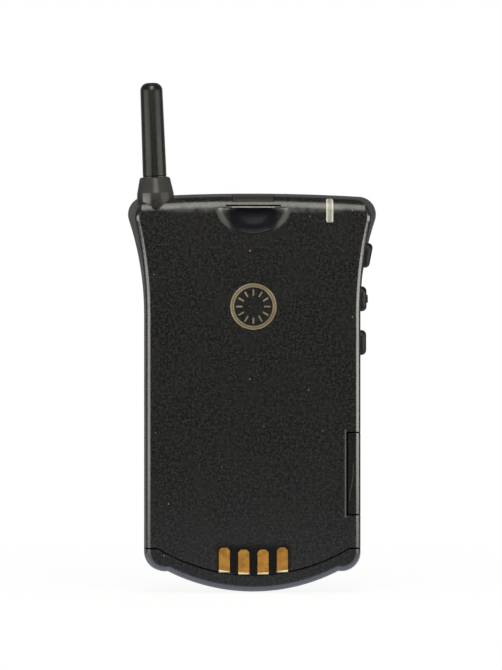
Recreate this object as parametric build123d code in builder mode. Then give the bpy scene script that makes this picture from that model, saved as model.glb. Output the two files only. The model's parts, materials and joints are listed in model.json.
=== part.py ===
from build123d import *

import os
from math import atan, cos, radians, sin, sqrt

# A compact flip phone, closed, standing on its chin.
# X runs across the phone, Y from its back (-Y) to its battery side (+Y), Z along its length.
# The origin is the middle of the thickness, at the lowest point of the chin. Millimetres.

# ---------------------------------------------------------------- outline of the body
BODY_LENGTH = 94.0       # chin to top edge
WAIST_HALF = 25.5        # half of the width along the straight sides
FLARE_LENGTH = 28.6      # of the flared part of the sides, down from the top edge
FLARE_RADIUS = 71.5      # radius of each flared side at the rim
TOP_RISE = 1.1           # rise of the arched top edge above its corners
CORNER_RADIUS = 4.2      # upper corners
INNER_CORNER = 1.0       # least radius of those corners on an inner wall
CHIN_RADIUS = 44.0       # arc of the chin
CHIN_SIDE = 5.2          # from the end of the chin's arc to the side
HEEL_RISE = 4.34         # rounded lower corners above the ends of the chin's arc
HEEL_RADIUS = 4.5        # rounded lower corners
SIDE_INSET = 0.3         # how far the back face stands inside the rim, at the waist,
SHOULDER_INSET = 1.8     # how much more than that at the shoulders,
TOP_INSET = 1.0          # at the top edge,
CHIN_INSET = 0.3         # and at the chin
EDGE_RADIUS = 1.4        # rounded edge of the back face
TOP_ROUND = 3.0          # the same along the top edge
TOP_BLEND = 3.0          # degrees, between that rounding and the faces that it joins
CAVITY_TOP_INSET = 2.2   # how far the hollow closes in at its top, towards the back
RIM_RADIUS = 0.5         # rounded edge of the keypad face
WALL = 1.4               # side walls
FLOOR = 1.2              # back wall
SEAM_GAP = 0.25          # visible gap around the end cap
PART_GAP = 0.1           # gap between housings that meet
FIT = 0.15               # gap around inserts and sliding keys
SEAT = 0.05              # gap where an inner piece rests on its seat
SLIDE_GAP = 0.3          # air around pieces that slide
RUNNING = 0.05           # radial clearance of shafts that turn or slide
OVER = 1.0               # how far a cut runs out past the surface that it opens
FLARE_START = BODY_LENGTH - FLARE_LENGTH
CHIN_HALF = WAIST_HALF - CHIN_SIDE
HEEL_HEIGHT = CHIN_RADIUS - sqrt(CHIN_RADIUS**2 - CHIN_HALF**2) + HEEL_RISE

# ---------------------------------------------------------------- layers, from back to battery
BASE_DEPTH = 11.5        # thickness of the half with the keypad
REAR_DEPTH = 9.0         # of which the rear housing
PLATE = 1.2              # face plate of the front housing
LID_GAP = 0.3            # air between keypad face and lid
LID_INNER = 2.6          # inner housing of the lid
LID_OUTER = 1.15         # outer housing of the lid
BATTERY_GAP = 0.15       # air between lid and battery
BATTERY_CASE = 2.0       # inner half of the battery shell
BATTERY_COVER = 2.25     # outer half of the battery shell
BATTERY_SEAM = 0.05      # gap between the two
LID_DEPTH = LID_INNER + LID_OUTER
BATTERY_DEPTH = BATTERY_CASE + BATTERY_SEAM + BATTERY_COVER
THICKNESS = BASE_DEPTH + LID_GAP + LID_DEPTH + BATTERY_GAP + BATTERY_DEPTH
BACK_Y = -THICKNESS / 2
FLOOR_Y = BACK_Y + FLOOR
PARTING_Y = BACK_Y + REAR_DEPTH
FRONT_BACK_Y = PARTING_Y + PART_GAP
FRONT_Y = BACK_Y + BASE_DEPTH
PLATE_Y = FRONT_Y - PLATE
LID_Y = FRONT_Y + LID_GAP
LID_SPLIT_Y = LID_Y + LID_INNER
LID_OUT_Y = LID_Y + LID_DEPTH
BATTERY_Y = LID_OUT_Y + BATTERY_GAP
BATTERY_SPLIT_Y = BATTERY_Y + BATTERY_CASE
COVER_Y = BATTERY_SPLIT_Y + BATTERY_SEAM
BATTERY_OUT_Y = BATTERY_Y + BATTERY_DEPTH

# ---------------------------------------------------------------- circuit board
BOARD_ROOM = 2.9         # between the board and the face plate
BOARD_THICK = 0.8
BOARD_INSET = 3.4        # board edge inside the rim
BOARD_BOTTOM = 6.5
BOARD_TOP_GAP = 5.0      # from the board's upper edge to the top of the phone
BOARD_FRONT_Y = PLATE_Y - BOARD_ROOM
BOARD_BACK_Y = BOARD_FRONT_Y - BOARD_THICK
BOARD_DEPTH = BOARD_BACK_Y - FLOOR_Y
BOARD_TOP = BODY_LENGTH - BOARD_TOP_GAP

# ---------------------------------------------------------------- hinge
HINGE_DROP = 5.6         # hinge axis below the top edge
HINGE_RADIUS = 4.4       # knuckles
HINGE_LIFT = 3.5         # hinge axis in front of the keypad face
KNUCKLE_HALF = 14.0      # half of the length of the lid's knuckle
KNUCKLE_GAP = 0.3
KNUCKLE_SIDE = 0.5       # the base's knuckles end this far inside the waist
PIN_RADIUS = 1.5
PIN_SINK = 1.0           # pin's ends inside the knuckles
COVE_GAP = 0.35
COVE_WALL = 0.8
CAM_RADIUS = 3.25
CAM_INNER_END = 3.1
FLEX_RADIUS = 2.5
FLEX_THICK = 0.3
FLEX_WIDTH = 3.6
FLEX_ROOM = 0.8          # air around the flex circuit's coil
FLEX_INTO_LID = 9.0      # how far the coil reaches into the lid's knuckle
FLEX_INTO_BASE = 6.2     # and into the base's
FLEX_TAIL_START = 0.9
FLEX_SLIT_SIDE = 0.2     # air beside the flex circuit's tail,
FLEX_SLIT_HALF = 0.4     # and half of the height of its slit
WEB_DROP = 3.2           # knuckles' webs, below the axis
WEB_STEP = 0.4           # and under the knuckles' top
WEB_ROOT = 0.6           # webs sink this far into the face
LID_DROP = 5.2           # upper edge of lid and battery below the axis
LID_INSET = 0.5          # lid and battery stand this far inside the rim
HINGE_Z = BODY_LENGTH - HINGE_DROP
HINGE_Y = FRONT_Y + HINGE_LIFT
LID_TOP = HINGE_Z - LID_DROP
KNUCKLE_END = WAIST_HALF - KNUCKLE_SIDE
PIN_END = KNUCKLE_END - PIN_SINK
COVE_RADIUS = HINGE_RADIUS + COVE_GAP
COVE_HALF = KNUCKLE_HALF + KNUCKLE_GAP
COVE_WALL_Y = HINGE_Y - COVE_RADIUS - COVE_WALL
FLEX_X0 = KNUCKLE_HALF - FLEX_INTO_LID
FLEX_X1 = COVE_HALF + FLEX_INTO_BASE
FLEX_BORE = FLEX_RADIUS + FLEX_ROOM
FLEX_TAIL_X = COVE_HALF + FLEX_TAIL_START
WEB_BOTTOM = HINGE_Z - WEB_DROP

# ---------------------------------------------------------------- antenna
MAST_SIDE = 2.4          # antenna's foot inside the waist
MAST_DEPTH = 4.5         # antenna axis from the back face
MAST_LEAN = 2.2          # degrees, outwards
COLLAR_RISE = 3.7        # collar above the top edge
COLLAR_RADIUS = 3.6      # at its top,
COLLAR_KNEE = 3.7        # and this far below it
COLLAR_KNEE_RADIUS = 4.3
COLLAR_FOOT = 7.0        # where the collar has merged with the back
COLLAR_BEVEL = 0.3
SLEEVE_RADIUS = 2.8
SLEEVE_TIP_RADIUS = 2.6
SLEEVE_LENGTH = 22.1
SLEEVE_BEVEL = 0.2
TIP_ROUNDNESS = 0.7      # share of the tip's radius that is rounded
BUSH_RADIUS = 2.6
BUSH_LENGTH = 8.0
FLANGE_RADIUS = 3.0
FLANGE_THICK = 0.5
FLANGE_SINK = 0.4        # of the flange in the collar
ROD_RADIUS = 0.65
ROD_FOOT_GAP = 3.4       # rod's foot above the sides of the end cap's seam
ROD_GRIP = 6.0           # of the rod inside the sleeve
FERRULE_RADIUS = 0.85
FERRULE_LENGTH = 2.5
TUBE_RADIUS = 1.15
TUBE_BORE = 0.95
TUBE_END_GAP = 0.5       # tube below the rod's foot
TUBE_REST_RISES = (6.3, 38.3)    # rests of the tube above the rod's foot
TUBE_REST_HALF = 1.0
MAST_X = MAST_SIDE - WAIST_HALF
COLLAR_TOP = BODY_LENGTH + COLLAR_RISE

# ---------------------------------------------------------------- back of the base
SEAM_CENTRE = 4.0        # height of the end cap's seam in the middle
SEAM_RISE = 1.0          # seam at the sides above the rounded corners
SEAM_INSET = 3.0         # the seam's arc ends this far from the sides
CONTACT_COUNT = 4
CONTACT_PITCH = 4.55
CONTACT_WIDTH = 2.6
CONTACT_LENGTH = 6.1
CONTACT_THICK = 0.4
CONTACT_SINK = 0.3       # contacts lie this far under the back face
CONTACT_BEND = 0.5
CONTACT_LEG_HALF = 0.4
CONTACT_LEG_DROP = 1.1   # legs below the contacts' upper ends
BLOCK_MARGIN = 2.0       # contact block above the contacts,
BLOCK_SIDE = 1.5         # and beside them
EMBLEM_DROP = 26.75      # emblem's middle below the top edge
EMBLEM_RADIUS = 5.5
EMBLEM_BAND = 1.0
EMBLEM_DEPTH = 0.4
TICK_COUNT = 12
TICK_LENGTH = 1.5
TICK_WIDTH = 0.4
TICK_RADIUS = 3.3        # of the ring through the ticks' middles
CATCH_HALF = 4.8
CATCH_HEIGHT = 2.35
CATCH_START = 0.5        # catch begins this far in front of the back face
CATCH_DEPTH = 6.6
SLOT_HALF = 6.5
SLOT_HEIGHT = 0.4
SLOT_DEPTH = 2.5
SLOT_RAIL = 0.45         # between slot and catch
SCOOP_HALF = 7.6
SCOOP_DROP = 5.5
SCOOP_DEPTH = 2.2
SCOOP_SECTION = ((0.0, 1.0), (0.6, 0.8), (0.9, 0.26), (1.05, 0.03), (1.2, -0.05))    # width, depth
SCOOP_RAIL = 0.3         # between scoop and slot
SCOOP_MARGIN = 1.7       # backing beside the scoop
LIGHT_SIDE = 7.55        # light pipe's middle inside the waist
LIGHT_WIDTH = 1.65
LIGHT_LENGTH = 5.6
LIGHT_CORNER = 0.45
LIGHT_DROP = 1.35        # its upper end below the top edge
LED_THICK = 0.6
SEAM_SIDE = HEEL_HEIGHT + SEAM_RISE
SEAM_HALF = WAIST_HALF - SEAM_INSET
ROD_LENGTH = COLLAR_TOP - SEAM_SIDE - ROD_FOOT_GAP    # of the rod below the collar
EMBLEM_Z = BODY_LENGTH - EMBLEM_DROP
CATCH_BOTTOM = BODY_LENGTH - CATCH_HEIGHT
SLOT_BOTTOM = CATCH_BOTTOM - SLOT_RAIL - SLOT_HEIGHT
SCOOP_TOP = SLOT_BOTTOM - SCOOP_RAIL
LIGHT_X = WAIST_HALF - LIGHT_SIDE
LIGHT_TOP = BODY_LENGTH - LIGHT_DROP
LIGHT_BOTTOM = LIGHT_TOP - LIGHT_LENGTH

# ---------------------------------------------------------------- connector in the chin
CONNECTOR_HALF = 8.0
CONNECTOR_BOTTOM = 2.4
CONNECTOR_TOP = 8.6
CONNECTOR_DEPTH = 3.5
CONNECTOR_SHELL = 0.4
CONNECTOR_BACK = 1.0     # its inner wall
TONGUE_SIDE = 1.2        # tongue inside the shell
TONGUE_HALF = 0.4
TONGUE_SINK = 0.6
CONNECTOR_Y = BOARD_BACK_Y - SEAT - CONNECTOR_DEPTH

# ---------------------------------------------------------------- keys on the side
SIDE_KEY_RISES = (-6.6, 3.7, 14.0)    # keys above the start of the flare
SIDE_KEY_TILTS = (0.0, 0.0, 11.0)
SIDE_KEY_LENGTH = 5.9
SIDE_KEY_WIDTH = 3.0
SIDE_KEY_PROUD = 1.4
SIDE_KEY_ROUND = 1.1
SIDE_KEY_LIP = 0.6       # flange inside the wall
SIDE_KEY_SINK = 1.0      # flange behind the wall's inner face
SIDE_KEY_TRAVEL = 0.6
SWITCH_DEPTH = 3.0
SWITCH_LENGTH = 4.4
NUB_LENGTH = 1.9
NUB_WIDTH = 1.3
NUB_PROUD = 0.3
LIP_START = -WALL - SIDE_KEY_SINK
SWITCH_START = LIP_START - SIDE_KEY_LIP - SIDE_KEY_TRAVEL - PART_GAP

# ---------------------------------------------------------------- card tray
DOOR_SIDE = 3.5          # inner edge of the tray's door inside the waist
DOOR_BOTTOM = 18.2
DOOR_HEIGHT = 19.6
DOOR_DEPTH = 5.7
DOOR_GAP = 0.25          # visible gap around the door
TRAY_THICK = 1.4
TRAY_FLOOR = 0.6
TRAY_END = 0.8           # end wall of the tray
TRAY_LIFT = 0.4          # tray in front of the inner floor
CARD_LENGTH = 25.0
CARD_HEIGHT = 15.0
CARD_THICK = 0.76
CARD_CORNER = 3.0        # cut corner
CARD_GAP = 0.2           # card behind the door
RAIL_WIDTH = 0.9
SOCKET_END = 1.0         # socket past the tray's inner end
SOCKET_SETBACK = 2.0     # and behind its door
SOCKET_PLATE = 0.6
DOOR_X = WAIST_HALF - DOOR_SIDE
DOOR_TOP = DOOR_BOTTOM + DOOR_HEIGHT
TRAY_LENGTH = CARD_GAP + CARD_LENGTH + TRAY_END    # of the tongue behind the door

# ---------------------------------------------------------------- vibrator
MOTOR_X0 = -16.0
MOTOR_LENGTH = 7.0
MOTOR_Z = 26.0
MOTOR_LIFT = 0.5
SHAFT_RADIUS = 0.4
SHAFT_SINK = 2.0         # shaft inside the motor
SHAFT_PROUD = 0.3        # shaft past the weight
CRADLE_HEIGHT = 2.0
CRADLE_END = 1.0         # motor past its cradle
WEIGHT_GAP = 0.6
WEIGHT_LENGTH = 2.6
WEIGHT_STEP = 0.1        # weight smaller than the motor
MOTOR_X1 = MOTOR_X0 + MOTOR_LENGTH
MOTOR_RADIUS = BOARD_DEPTH / 2 - MOTOR_LIFT
MOTOR_Y = FLOOR_Y + MOTOR_LIFT + MOTOR_RADIUS

# ---------------------------------------------------------------- screws
CASE_SCREW_SIDE = 8.7    # screws inside the waist,
CASE_SCREW_LOW = 10.0    # the lower ones above the chin,
CASE_SCREW_DROP = 13.5   # and the upper ones below the top edge
BOSS_RADIUS = 2.0
SCREW_RADIUS = 0.9
SCREW_HEAD_RADIUS = 1.4
SCREW_HEAD = 0.7
SCREW_HOLE = 1.05
SCREW_ENGAGE = 4.0
SCREW_TIP_GAP = 0.5
RECESS_LENGTH = 1.6      # cross recess
RECESS_WIDTH = 0.35
LID_SCREW_SIDE = 7.5
LID_SCREW_LOW = 10.0
LID_SCREW_DROP = 5.2     # below the lid's upper edge
LID_SCREW_RADIUS = 0.7
LID_SCREW_HEAD = 0.5
LID_SCREW_TIP_GAP = 0.3
LID_HEAD_RADIUS = 1.2
LID_POST_RADIUS = 1.6
CASE_SCREW_X = WAIST_HALF - CASE_SCREW_SIDE
CASE_SCREW_HEIGHTS = (CASE_SCREW_LOW, BODY_LENGTH - CASE_SCREW_DROP)
LID_SCREW_X = WAIST_HALF - LID_SCREW_SIDE
LID_SCREW_HEIGHTS = (LID_SCREW_LOW, LID_TOP - LID_SCREW_DROP)

# ---------------------------------------------------------------- display
DISPLAY_DROP = 27.0      # display's middle below the top edge
LENS_WIDTH = 36.4
LENS_HEIGHT = 20.0
LENS_THICK = 0.9
LENS_LEDGE = 1.2
LENS_CORNER = 2.0
LENS_ROUND = 0.2
MODULE_GAP = 0.7         # module's back off the board
FRAME_WALL = 1.2
MIC_Z = 6.4
MIC_RADIUS = 1.9
MIC_THICK = 1.5
MIC_HOLE = 0.5
MIC_PORT = 0.5           # depth of the port in the microphone
DISPLAY_Z = BODY_LENGTH - DISPLAY_DROP
MODULE_THICK = BOARD_ROOM - MODULE_GAP

# ---------------------------------------------------------------- keypad
KEY_COLUMNS = 3
KEY_ROWS = 5
PANEL_SIDE = 5.7         # rim beside the keypad panel
PANEL_BOTTOM = 11.5
PANEL_TO_LENS = 3.6
PANEL_SINK = 0.6         # keypad panel under the rim
PANEL_MARGIN = 1.4       # panel around the keys
KEY_SPACE_X = 2.8        # between keys, across
KEY_SPACE_Z = 2.6        # and along the phone
KEY_ROUNDNESS = 0.36     # corner radius as a share of a key's height
KEY_EDGE = 0.3           # rounded edge of a key's top
KEY_TRAVEL = 0.5
KEY_LIP = 0.7
KEY_LIP_THICK = 0.4
KEY_UNDER_LID = 0.1      # key tops stay this far under the rim
KEY_FIT = 0.2
DOME_RADIUS = 1.9
MAT_THICK = 0.8
MAT_MARGIN = 0.7         # the mat is this much smaller than the panel, all round
PANEL_TOP = DISPLAY_Z - LENS_HEIGHT / 2 - PANEL_TO_LENS
PANEL_WIDTH = 2 * (WAIST_HALF - PANEL_SIDE)
PANEL_HEIGHT = PANEL_TOP - PANEL_BOTTOM
PAD_MIDDLE = (PANEL_TOP + PANEL_BOTTOM) / 2
KEY_PITCH_X = (PANEL_WIDTH - 2 * PANEL_MARGIN + KEY_SPACE_X) / KEY_COLUMNS
KEY_PITCH_Z = (PANEL_HEIGHT - 2 * PANEL_MARGIN + KEY_SPACE_Z) / KEY_ROWS
KEY_WIDTH = KEY_PITCH_X - KEY_SPACE_X
KEY_HEIGHT = KEY_PITCH_Z - KEY_SPACE_Z
KEY_CORNER = KEY_ROUNDNESS * KEY_HEIGHT
KEY_XS = [(i - (KEY_COLUMNS - 1) / 2) * KEY_PITCH_X for i in range(KEY_COLUMNS)]
KEY_ZS = [PAD_MIDDLE + (i - (KEY_ROWS - 1) / 2) * KEY_PITCH_Z for i in range(KEY_ROWS)]
KEY_TOP_Y = FRONT_Y - KEY_UNDER_LID
KEY_LIP_Y = PLATE_Y - FIT
KEY_FOOT_Y = KEY_LIP_Y - KEY_LIP_THICK
DOME_TOP_Y = KEY_FOOT_Y - KEY_TRAVEL - SEAT

# ---------------------------------------------------------------- shield and components
SHIELD_HALF = 14.0
SHIELD_RISE = 5.2        # shield above the tray's door
SHIELD_DROP = 16.0       # and below the board's upper edge
SHIELD_HEIGHT = 2.6
SHIELD_WALL = 0.3
SHIELD_ROUND = 0.25
SHIELD_BOTTOM = DOOR_TOP + SHIELD_RISE
SHIELD_TOP = BOARD_TOP - SHIELD_DROP

# ---------------------------------------------------------------- lid
LID_PLATE = 1.2
LID_EDGE = 0.4           # rounded edge of the lid's inner face
LID_SKIN = 0.6           # left in front of the screws' posts
ROOT_STEP = 0.8          # knuckle's root under the battery's outer face
ROOT_FOOT = 0.8          # root behind the lid's upper wall
SPEAKER_DROP = 11.2      # below the lid's upper edge
SPEAKER_RADIUS = 6.0
SPEAKER_THICK = 1.9
SPEAKER_ROUND = 0.3
SOUND_SLOTS = 5
SOUND_PITCH = 1.9
PAD_DROP = 27.2          # battery's pads below the lid's upper edge
PAD_LENGTH = 4.0
PAD_WIDTH = 2.2
PAD_THICK = 0.4
SPEAKER_Z = LID_TOP - SPEAKER_DROP
PAD_Z = LID_TOP - PAD_DROP

# ---------------------------------------------------------------- battery and its latch
BATTERY_WALL = 1.2
BATTERY_SKIN = 0.6
BATTERY_SLOPE = 1.6
BATTERY_EDGE = 1.2       # rounded edge of the outer face
BATTERY_ROUND = 0.3      # rounded edge of the inner face
CELL_BOTTOM = 14.5
CELL_DROP = 4.2          # cell's top below the battery's
CELL_SIDE = 4.0          # cell inside the waist
CELL_EDGE = 1.2
CELL_RIB = 1.0
LATCH_HALF = 6.0
LATCH_BOTTOM = 4.4
LATCH_HEIGHT = 3.8
LATCH_TRAVEL = 1.5
LATCH_SKIRT = 2.0        # the slider is this much longer than its button
LATCH_SINK = 0.1         # button under the battery's face
BUTTON_ROUND = 0.6
GRIP_LINES = 3
GRIP_END = 1.2
GRIP_DEPTH = 0.25
GRIP_HALF = 0.2
SLIDER_SIDE = 1.5        # slider beside its button
SLIDER_THICK = 1.0
PEG_HALF = 2.0
PEG_HEIGHT = 1.5
SPRING_RADIUS = 0.8
SPRING_WIRE = 0.12
SPRING_PITCH = 0.8
SPRING_LIFT = 1.15       # spring's axis above the battery's inner skin
CELL_TOP = LID_TOP - CELL_DROP
CELL_HALF = WAIST_HALF - CELL_SIDE
LATCH_TOP = LATCH_BOTTOM + LATCH_HEIGHT
LATCH_SLOT_TOP = LATCH_BOTTOM + PEG_HEIGHT + LATCH_TRAVEL + 2 * SLIDE_GAP
SLIDER_TOP = LATCH_TOP + LATCH_SKIRT
SLIDER_Y = BATTERY_Y + BATTERY_SKIN + SEAT + SLIDE_GAP
SPRING_LENGTH = CELL_BOTTOM - CELL_RIB - SLIDER_TOP
SPRING_Y = BATTERY_Y + BATTERY_SKIN + SPRING_LIFT
BUTTON_TOP_Y = BATTERY_OUT_Y - LATCH_SINK

os.makedirs("parts", exist_ok=True)


def level(y):
    """Plane across the phone at one depth; extrusions from it go towards the back."""
    return Plane.XZ.offset(-y)


def across(x):
    """Plane along the phone at one width; extrusions from it go towards +X."""
    return Plane.YZ.offset(x)


def flare_x(z, half, radius):
    """Half width of a flared side at height z."""
    return half + radius - sqrt(radius**2 - (z - FLARE_START)**2)


def draft_at(y):
    """How far the sides have closed in at depth y: 0 at the rim, 1 at the back face."""
    return max(0.0, (PARTING_Y - y) / REAR_DEPTH)


def outline(y, inset=0.0, cut=None, top_inset=TOP_INSET):
    """Outline of the phone at depth y, moved inwards by inset, and cut off at height cut."""
    draft = draft_at(y)
    rise = FLARE_LENGTH
    swell = rise**2 / (2 * FLARE_RADIUS) - SHOULDER_INSET * draft
    radius = rise**2 / (2 * swell) + inset
    half = WAIST_HALF - SIDE_INSET * draft - inset
    top = BODY_LENGTH - top_inset * draft - inset
    corner_z = top - TOP_RISE
    middle_z = (corner_z + FLARE_START) / 2
    corner_x = flare_x(corner_z, half, radius)
    chin = CHIN_INSET * draft + inset
    chin_radius = CHIN_RADIUS - inset
    chin_x = CHIN_HALF - SIDE_INSET * draft - inset / 2
    chin_z = chin + chin_radius - sqrt(chin_radius**2 - chin_x**2)
    with BuildSketch(level(y)) as face:
        with BuildLine():
            RadiusArc((chin_x, chin_z), (half, HEEL_HEIGHT), -(HEEL_RADIUS - inset / 2))
            Line((half, HEEL_HEIGHT), (half, FLARE_START))
            ThreePointArc(
                (half, FLARE_START),
                (flare_x(middle_z, half, radius), middle_z),
                (corner_x, corner_z),
            )
            mirror(about=Plane.YZ)
            ThreePointArc((-corner_x, corner_z), (0, top), (corner_x, corner_z))
            ThreePointArc((-chin_x, chin_z), (0, chin), (chin_x, chin_z))
        make_face()
        fillet(face.vertices().group_by(Axis.Y)[-1], max(CORNER_RADIUS - inset, INNER_CORNER))
        if cut is not None:
            with Locations((0, cut)):
                Rectangle(
                    4 * WAIST_HALF,
                    BODY_LENGTH,
                    align=(Align.CENTER, Align.MIN),
                    mode=Mode.SUBTRACT,
                )
    return face.sketch


def round_top():
    """Round the back face off towards the arched top edge, more widely than towards the sides."""
    half = flare_x(BODY_LENGTH, WAIST_HALF, FLARE_RADIUS) - SIDE_INSET - SHOULDER_INSET
    arch = (half**2 + TOP_RISE**2) / (2 * TOP_RISE)
    slope = atan(TOP_INSET / REAR_DEPTH)
    blend = radians(TOP_BLEND)
    turns = (blend, radians(45), radians(90) - slope - blend)
    middle_y = BACK_Y + TOP_ROUND
    top_z = BODY_LENGTH - TOP_INSET
    middle_z = top_z + TOP_ROUND * ((1 - sin(slope)) * TOP_INSET / REAR_DEPTH - cos(slope))
    arc = [(middle_y - TOP_ROUND * cos(turn), middle_z + TOP_ROUND * sin(turn)) for turn in turns]
    low = (arc[0][0] - TOP_ROUND * sin(blend), arc[0][1] - TOP_ROUND * cos(blend))
    high = (arc[2][0] + REAR_DEPTH * sin(turns[2]), arc[2][1] + REAR_DEPTH * cos(turns[2]))
    with BuildSketch(across(0)) as waste:
        with BuildLine():
            Line(low, arc[0])
            ThreePointArc(*arc)
            Polyline(
                arc[2],
                high,
                (high[0], high[1] + OVER),
                (BACK_Y - TOP_ROUND, high[1] + OVER),
                (BACK_Y - TOP_ROUND, low[1]),
                low,
            )
        make_face()
    revolve(waste.sketch, axis=Axis((0, 0, top_z - arch), (0, 1, 0)), mode=Mode.SUBTRACT)


def base_form():
    """The rear half of the base as one solid: drafted sides and a rounded back edge."""
    loft([outline(PARTING_Y), outline(BACK_Y)], ruled=True)
    fillet(faces().sort_by(Axis.Y)[0].edges(), EDGE_RADIUS)
    round_top()


def base_cavity():
    """Hollow of the rear half, open towards the front."""
    loft(
        [
            outline(PARTING_Y, WALL),
            outline(FLOOR_Y, WALL, top_inset=CAVITY_TOP_INSET),
        ],
        ruled=True,
        mode=Mode.SUBTRACT,
    )


def cap_region(raised=0.0, mode=Mode.ADD):
    """Everything below the end cap's seam, from behind the back face to the parting plane."""
    side = SEAM_SIDE + raised
    with BuildSketch(level(PARTING_Y)) as region:
        with BuildLine():
            ThreePointArc((-SEAM_HALF, side), (0, SEAM_CENTRE + raised), (SEAM_HALF, side))
            Polyline(
                (SEAM_HALF, side),
                (2 * WAIST_HALF, side),
                (2 * WAIST_HALF, -BODY_LENGTH),
                (-2 * WAIST_HALF, -BODY_LENGTH),
                (-2 * WAIST_HALF, side),
                (-SEAM_HALF, side),
            )
        make_face()
    extrude(region.sketch, amount=2 * REAR_DEPTH, mode=mode)


def seam_z(x):
    """Height of the end cap's seam at distance x from the middle."""
    rise = SEAM_SIDE - SEAM_CENTRE
    radius = (SEAM_HALF**2 + rise**2) / (2 * rise)
    return SEAM_CENTRE + radius - sqrt(radius**2 - x**2)


def block(x0, x1, y0, y1, z0, z1, mode=Mode.ADD):
    """Box between two corners."""
    with Locations(((x0 + x1) / 2, (y0 + y1) / 2, (z0 + z1) / 2)):
        Box(x1 - x0, y1 - y0, z1 - z0, mode=mode)


def disc(x, z, radius, y0, y1, mode=Mode.ADD):
    """Round bar along Y between two depths."""
    with BuildSketch(level(y1)) as circle:
        with Locations((x, z)):
            Circle(radius)
    extrude(circle.sketch, amount=y1 - y0, mode=mode)


def bar(y, z, radius, x0, x1, mode=Mode.ADD):
    """Round bar along X between two widths."""
    with BuildSketch(across(x0)) as circle:
        with Locations((y, z)):
            Circle(radius)
    extrude(circle.sketch, amount=x1 - x0, mode=mode)


# ---------------------------------------------------------------- antenna axis
LEAN = radians(MAST_LEAN)
MAST_FOOT = (MAST_X, BACK_Y + MAST_DEPTH, COLLAR_TOP)
MAST_AXIS = Axis(MAST_FOOT, (-sin(LEAN), 0, cos(LEAN)))
MAST_PLANE = Plane(MAST_FOOT, x_dir=(cos(LEAN), 0, sin(LEAN)), z_dir=(0, -1, 0))


def mast_turning(profile, mode=Mode.ADD):
    """Turn a closed profile of (radius, height above the collar) about the antenna's axis."""
    with BuildSketch(MAST_PLANE) as section:
        with BuildLine():
            Polyline(*profile, close=True)
        make_face()
    revolve(section.sketch, axis=MAST_AXIS, mode=mode)


def mast_rod(radius, low, high, mode=Mode.ADD):
    """Round bar on the antenna's axis."""
    mast_turning(((0, low), (radius, low), (radius, high), (0, high)), mode)


def mast_x(z):
    """Where the antenna's axis is at height z."""
    return MAST_X + (COLLAR_TOP - z) * sin(LEAN) / cos(LEAN)


# ---------------------------------------------------------------- places on the back
CONTACT_XS = [(i - (CONTACT_COUNT - 1) / 2) * CONTACT_PITCH for i in range(CONTACT_COUNT)]
CONTACT_Y = BACK_Y + CONTACT_SINK
BLOCK_BOTTOM = SEAM_CENTRE + 2 * FLOOR
BLOCK_TOP = SEAM_CENTRE + CONTACT_LENGTH + BLOCK_MARGIN
BLOCK_HALF = CONTACT_XS[-1] + CONTACT_WIDTH / 2 + BLOCK_SIDE
LEG_Z = SEAM_CENTRE + CONTACT_LENGTH - CONTACT_LEG_DROP
SCOOP_BACKING_HALF = SCOOP_HALF + SCOOP_MARGIN
SCOOP_BACKING_Y = BACK_Y + SCOOP_DEPTH + WALL
LIGHT_MIDDLE = (LIGHT_BOTTOM + LIGHT_TOP) / 2
LIGHT_FOOT_Y = BOARD_BACK_Y - LED_THICK - 2 * SEAT
SIDE_KEY_Y = BOARD_BACK_Y - SIDE_KEY_WIDTH / 2
SIDE_KEY_ZS = [FLARE_START + rise for rise in SIDE_KEY_RISES]
DOOR_FRONT_Y = BACK_Y + DOOR_DEPTH
TRAY_Y = FLOOR_Y + TRAY_LIFT
TRAY_BOTTOM = DOOR_BOTTOM + RAIL_WIDTH + SLIDE_GAP
TRAY_TOP = DOOR_TOP - RAIL_WIDTH - SLIDE_GAP
TRAY_MIDDLE = (DOOR_BOTTOM + DOOR_TOP) / 2
CARD_X = DOOR_X - CARD_GAP - CARD_LENGTH / 2
CARD_Y = TRAY_Y + TRAY_FLOOR
SOCKET_X0 = DOOR_X - TRAY_LENGTH - SOCKET_END
SOCKET_X1 = DOOR_X - SOCKET_SETBACK
SOCKET_BACK_Y = TRAY_Y + TRAY_THICK + SLIDE_GAP


def side_key_plane(number):
    """Plane on the outer surface at one side key: its normal points out, its X runs along the side."""
    z = SIDE_KEY_ZS[number]
    tilt = radians(SIDE_KEY_TILTS[number])
    draft = draft_at(SIDE_KEY_Y)
    above = max(0.0, z - FLARE_START)
    share = above / FLARE_LENGTH
    swell = above**2 / (2 * FLARE_RADIUS) - SHOULDER_INSET * draft * share**2
    x = WAIST_HALF - SIDE_INSET * draft + swell
    return Plane(
        (x, SIDE_KEY_Y, z),
        x_dir=(sin(tilt), 0, cos(tilt)),
        z_dir=(cos(tilt), 0, -sin(tilt)),
    )


def pill(plane, length, width, start, end, mode=Mode.ADD):
    """Bar with round ends standing on a plane, between two heights above it."""
    with BuildSketch(plane.offset(start)) as shape:
        SlotOverall(length, width)
    extrude(shape.sketch, amount=end - start, mode=mode)


# ---------------------------------------------------------------- scoop: a bowl for the thumb
with BuildPart() as scoop:
    with BuildSketch() as bowl:
        with BuildLine():
            Spline(*SCOOP_SECTION, tangents=((1, 0), (1, -0.1)))
            rim_x = SCOOP_SECTION[-1][0]
            Polyline(SCOOP_SECTION[-1], (rim_x, -OVER), (0, -OVER), SCOOP_SECTION[0])
        make_face()
    revolve(bowl.sketch, axis=Axis.Y)
    scale(by=(SCOOP_HALF, SCOOP_DEPTH, SCOOP_DROP))
    split(bisect_by=Plane.XY, keep=Keep.BOTTOM)
SCOOP = scoop.part.moved(Location((0, BACK_Y, SCOOP_TOP)))

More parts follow.
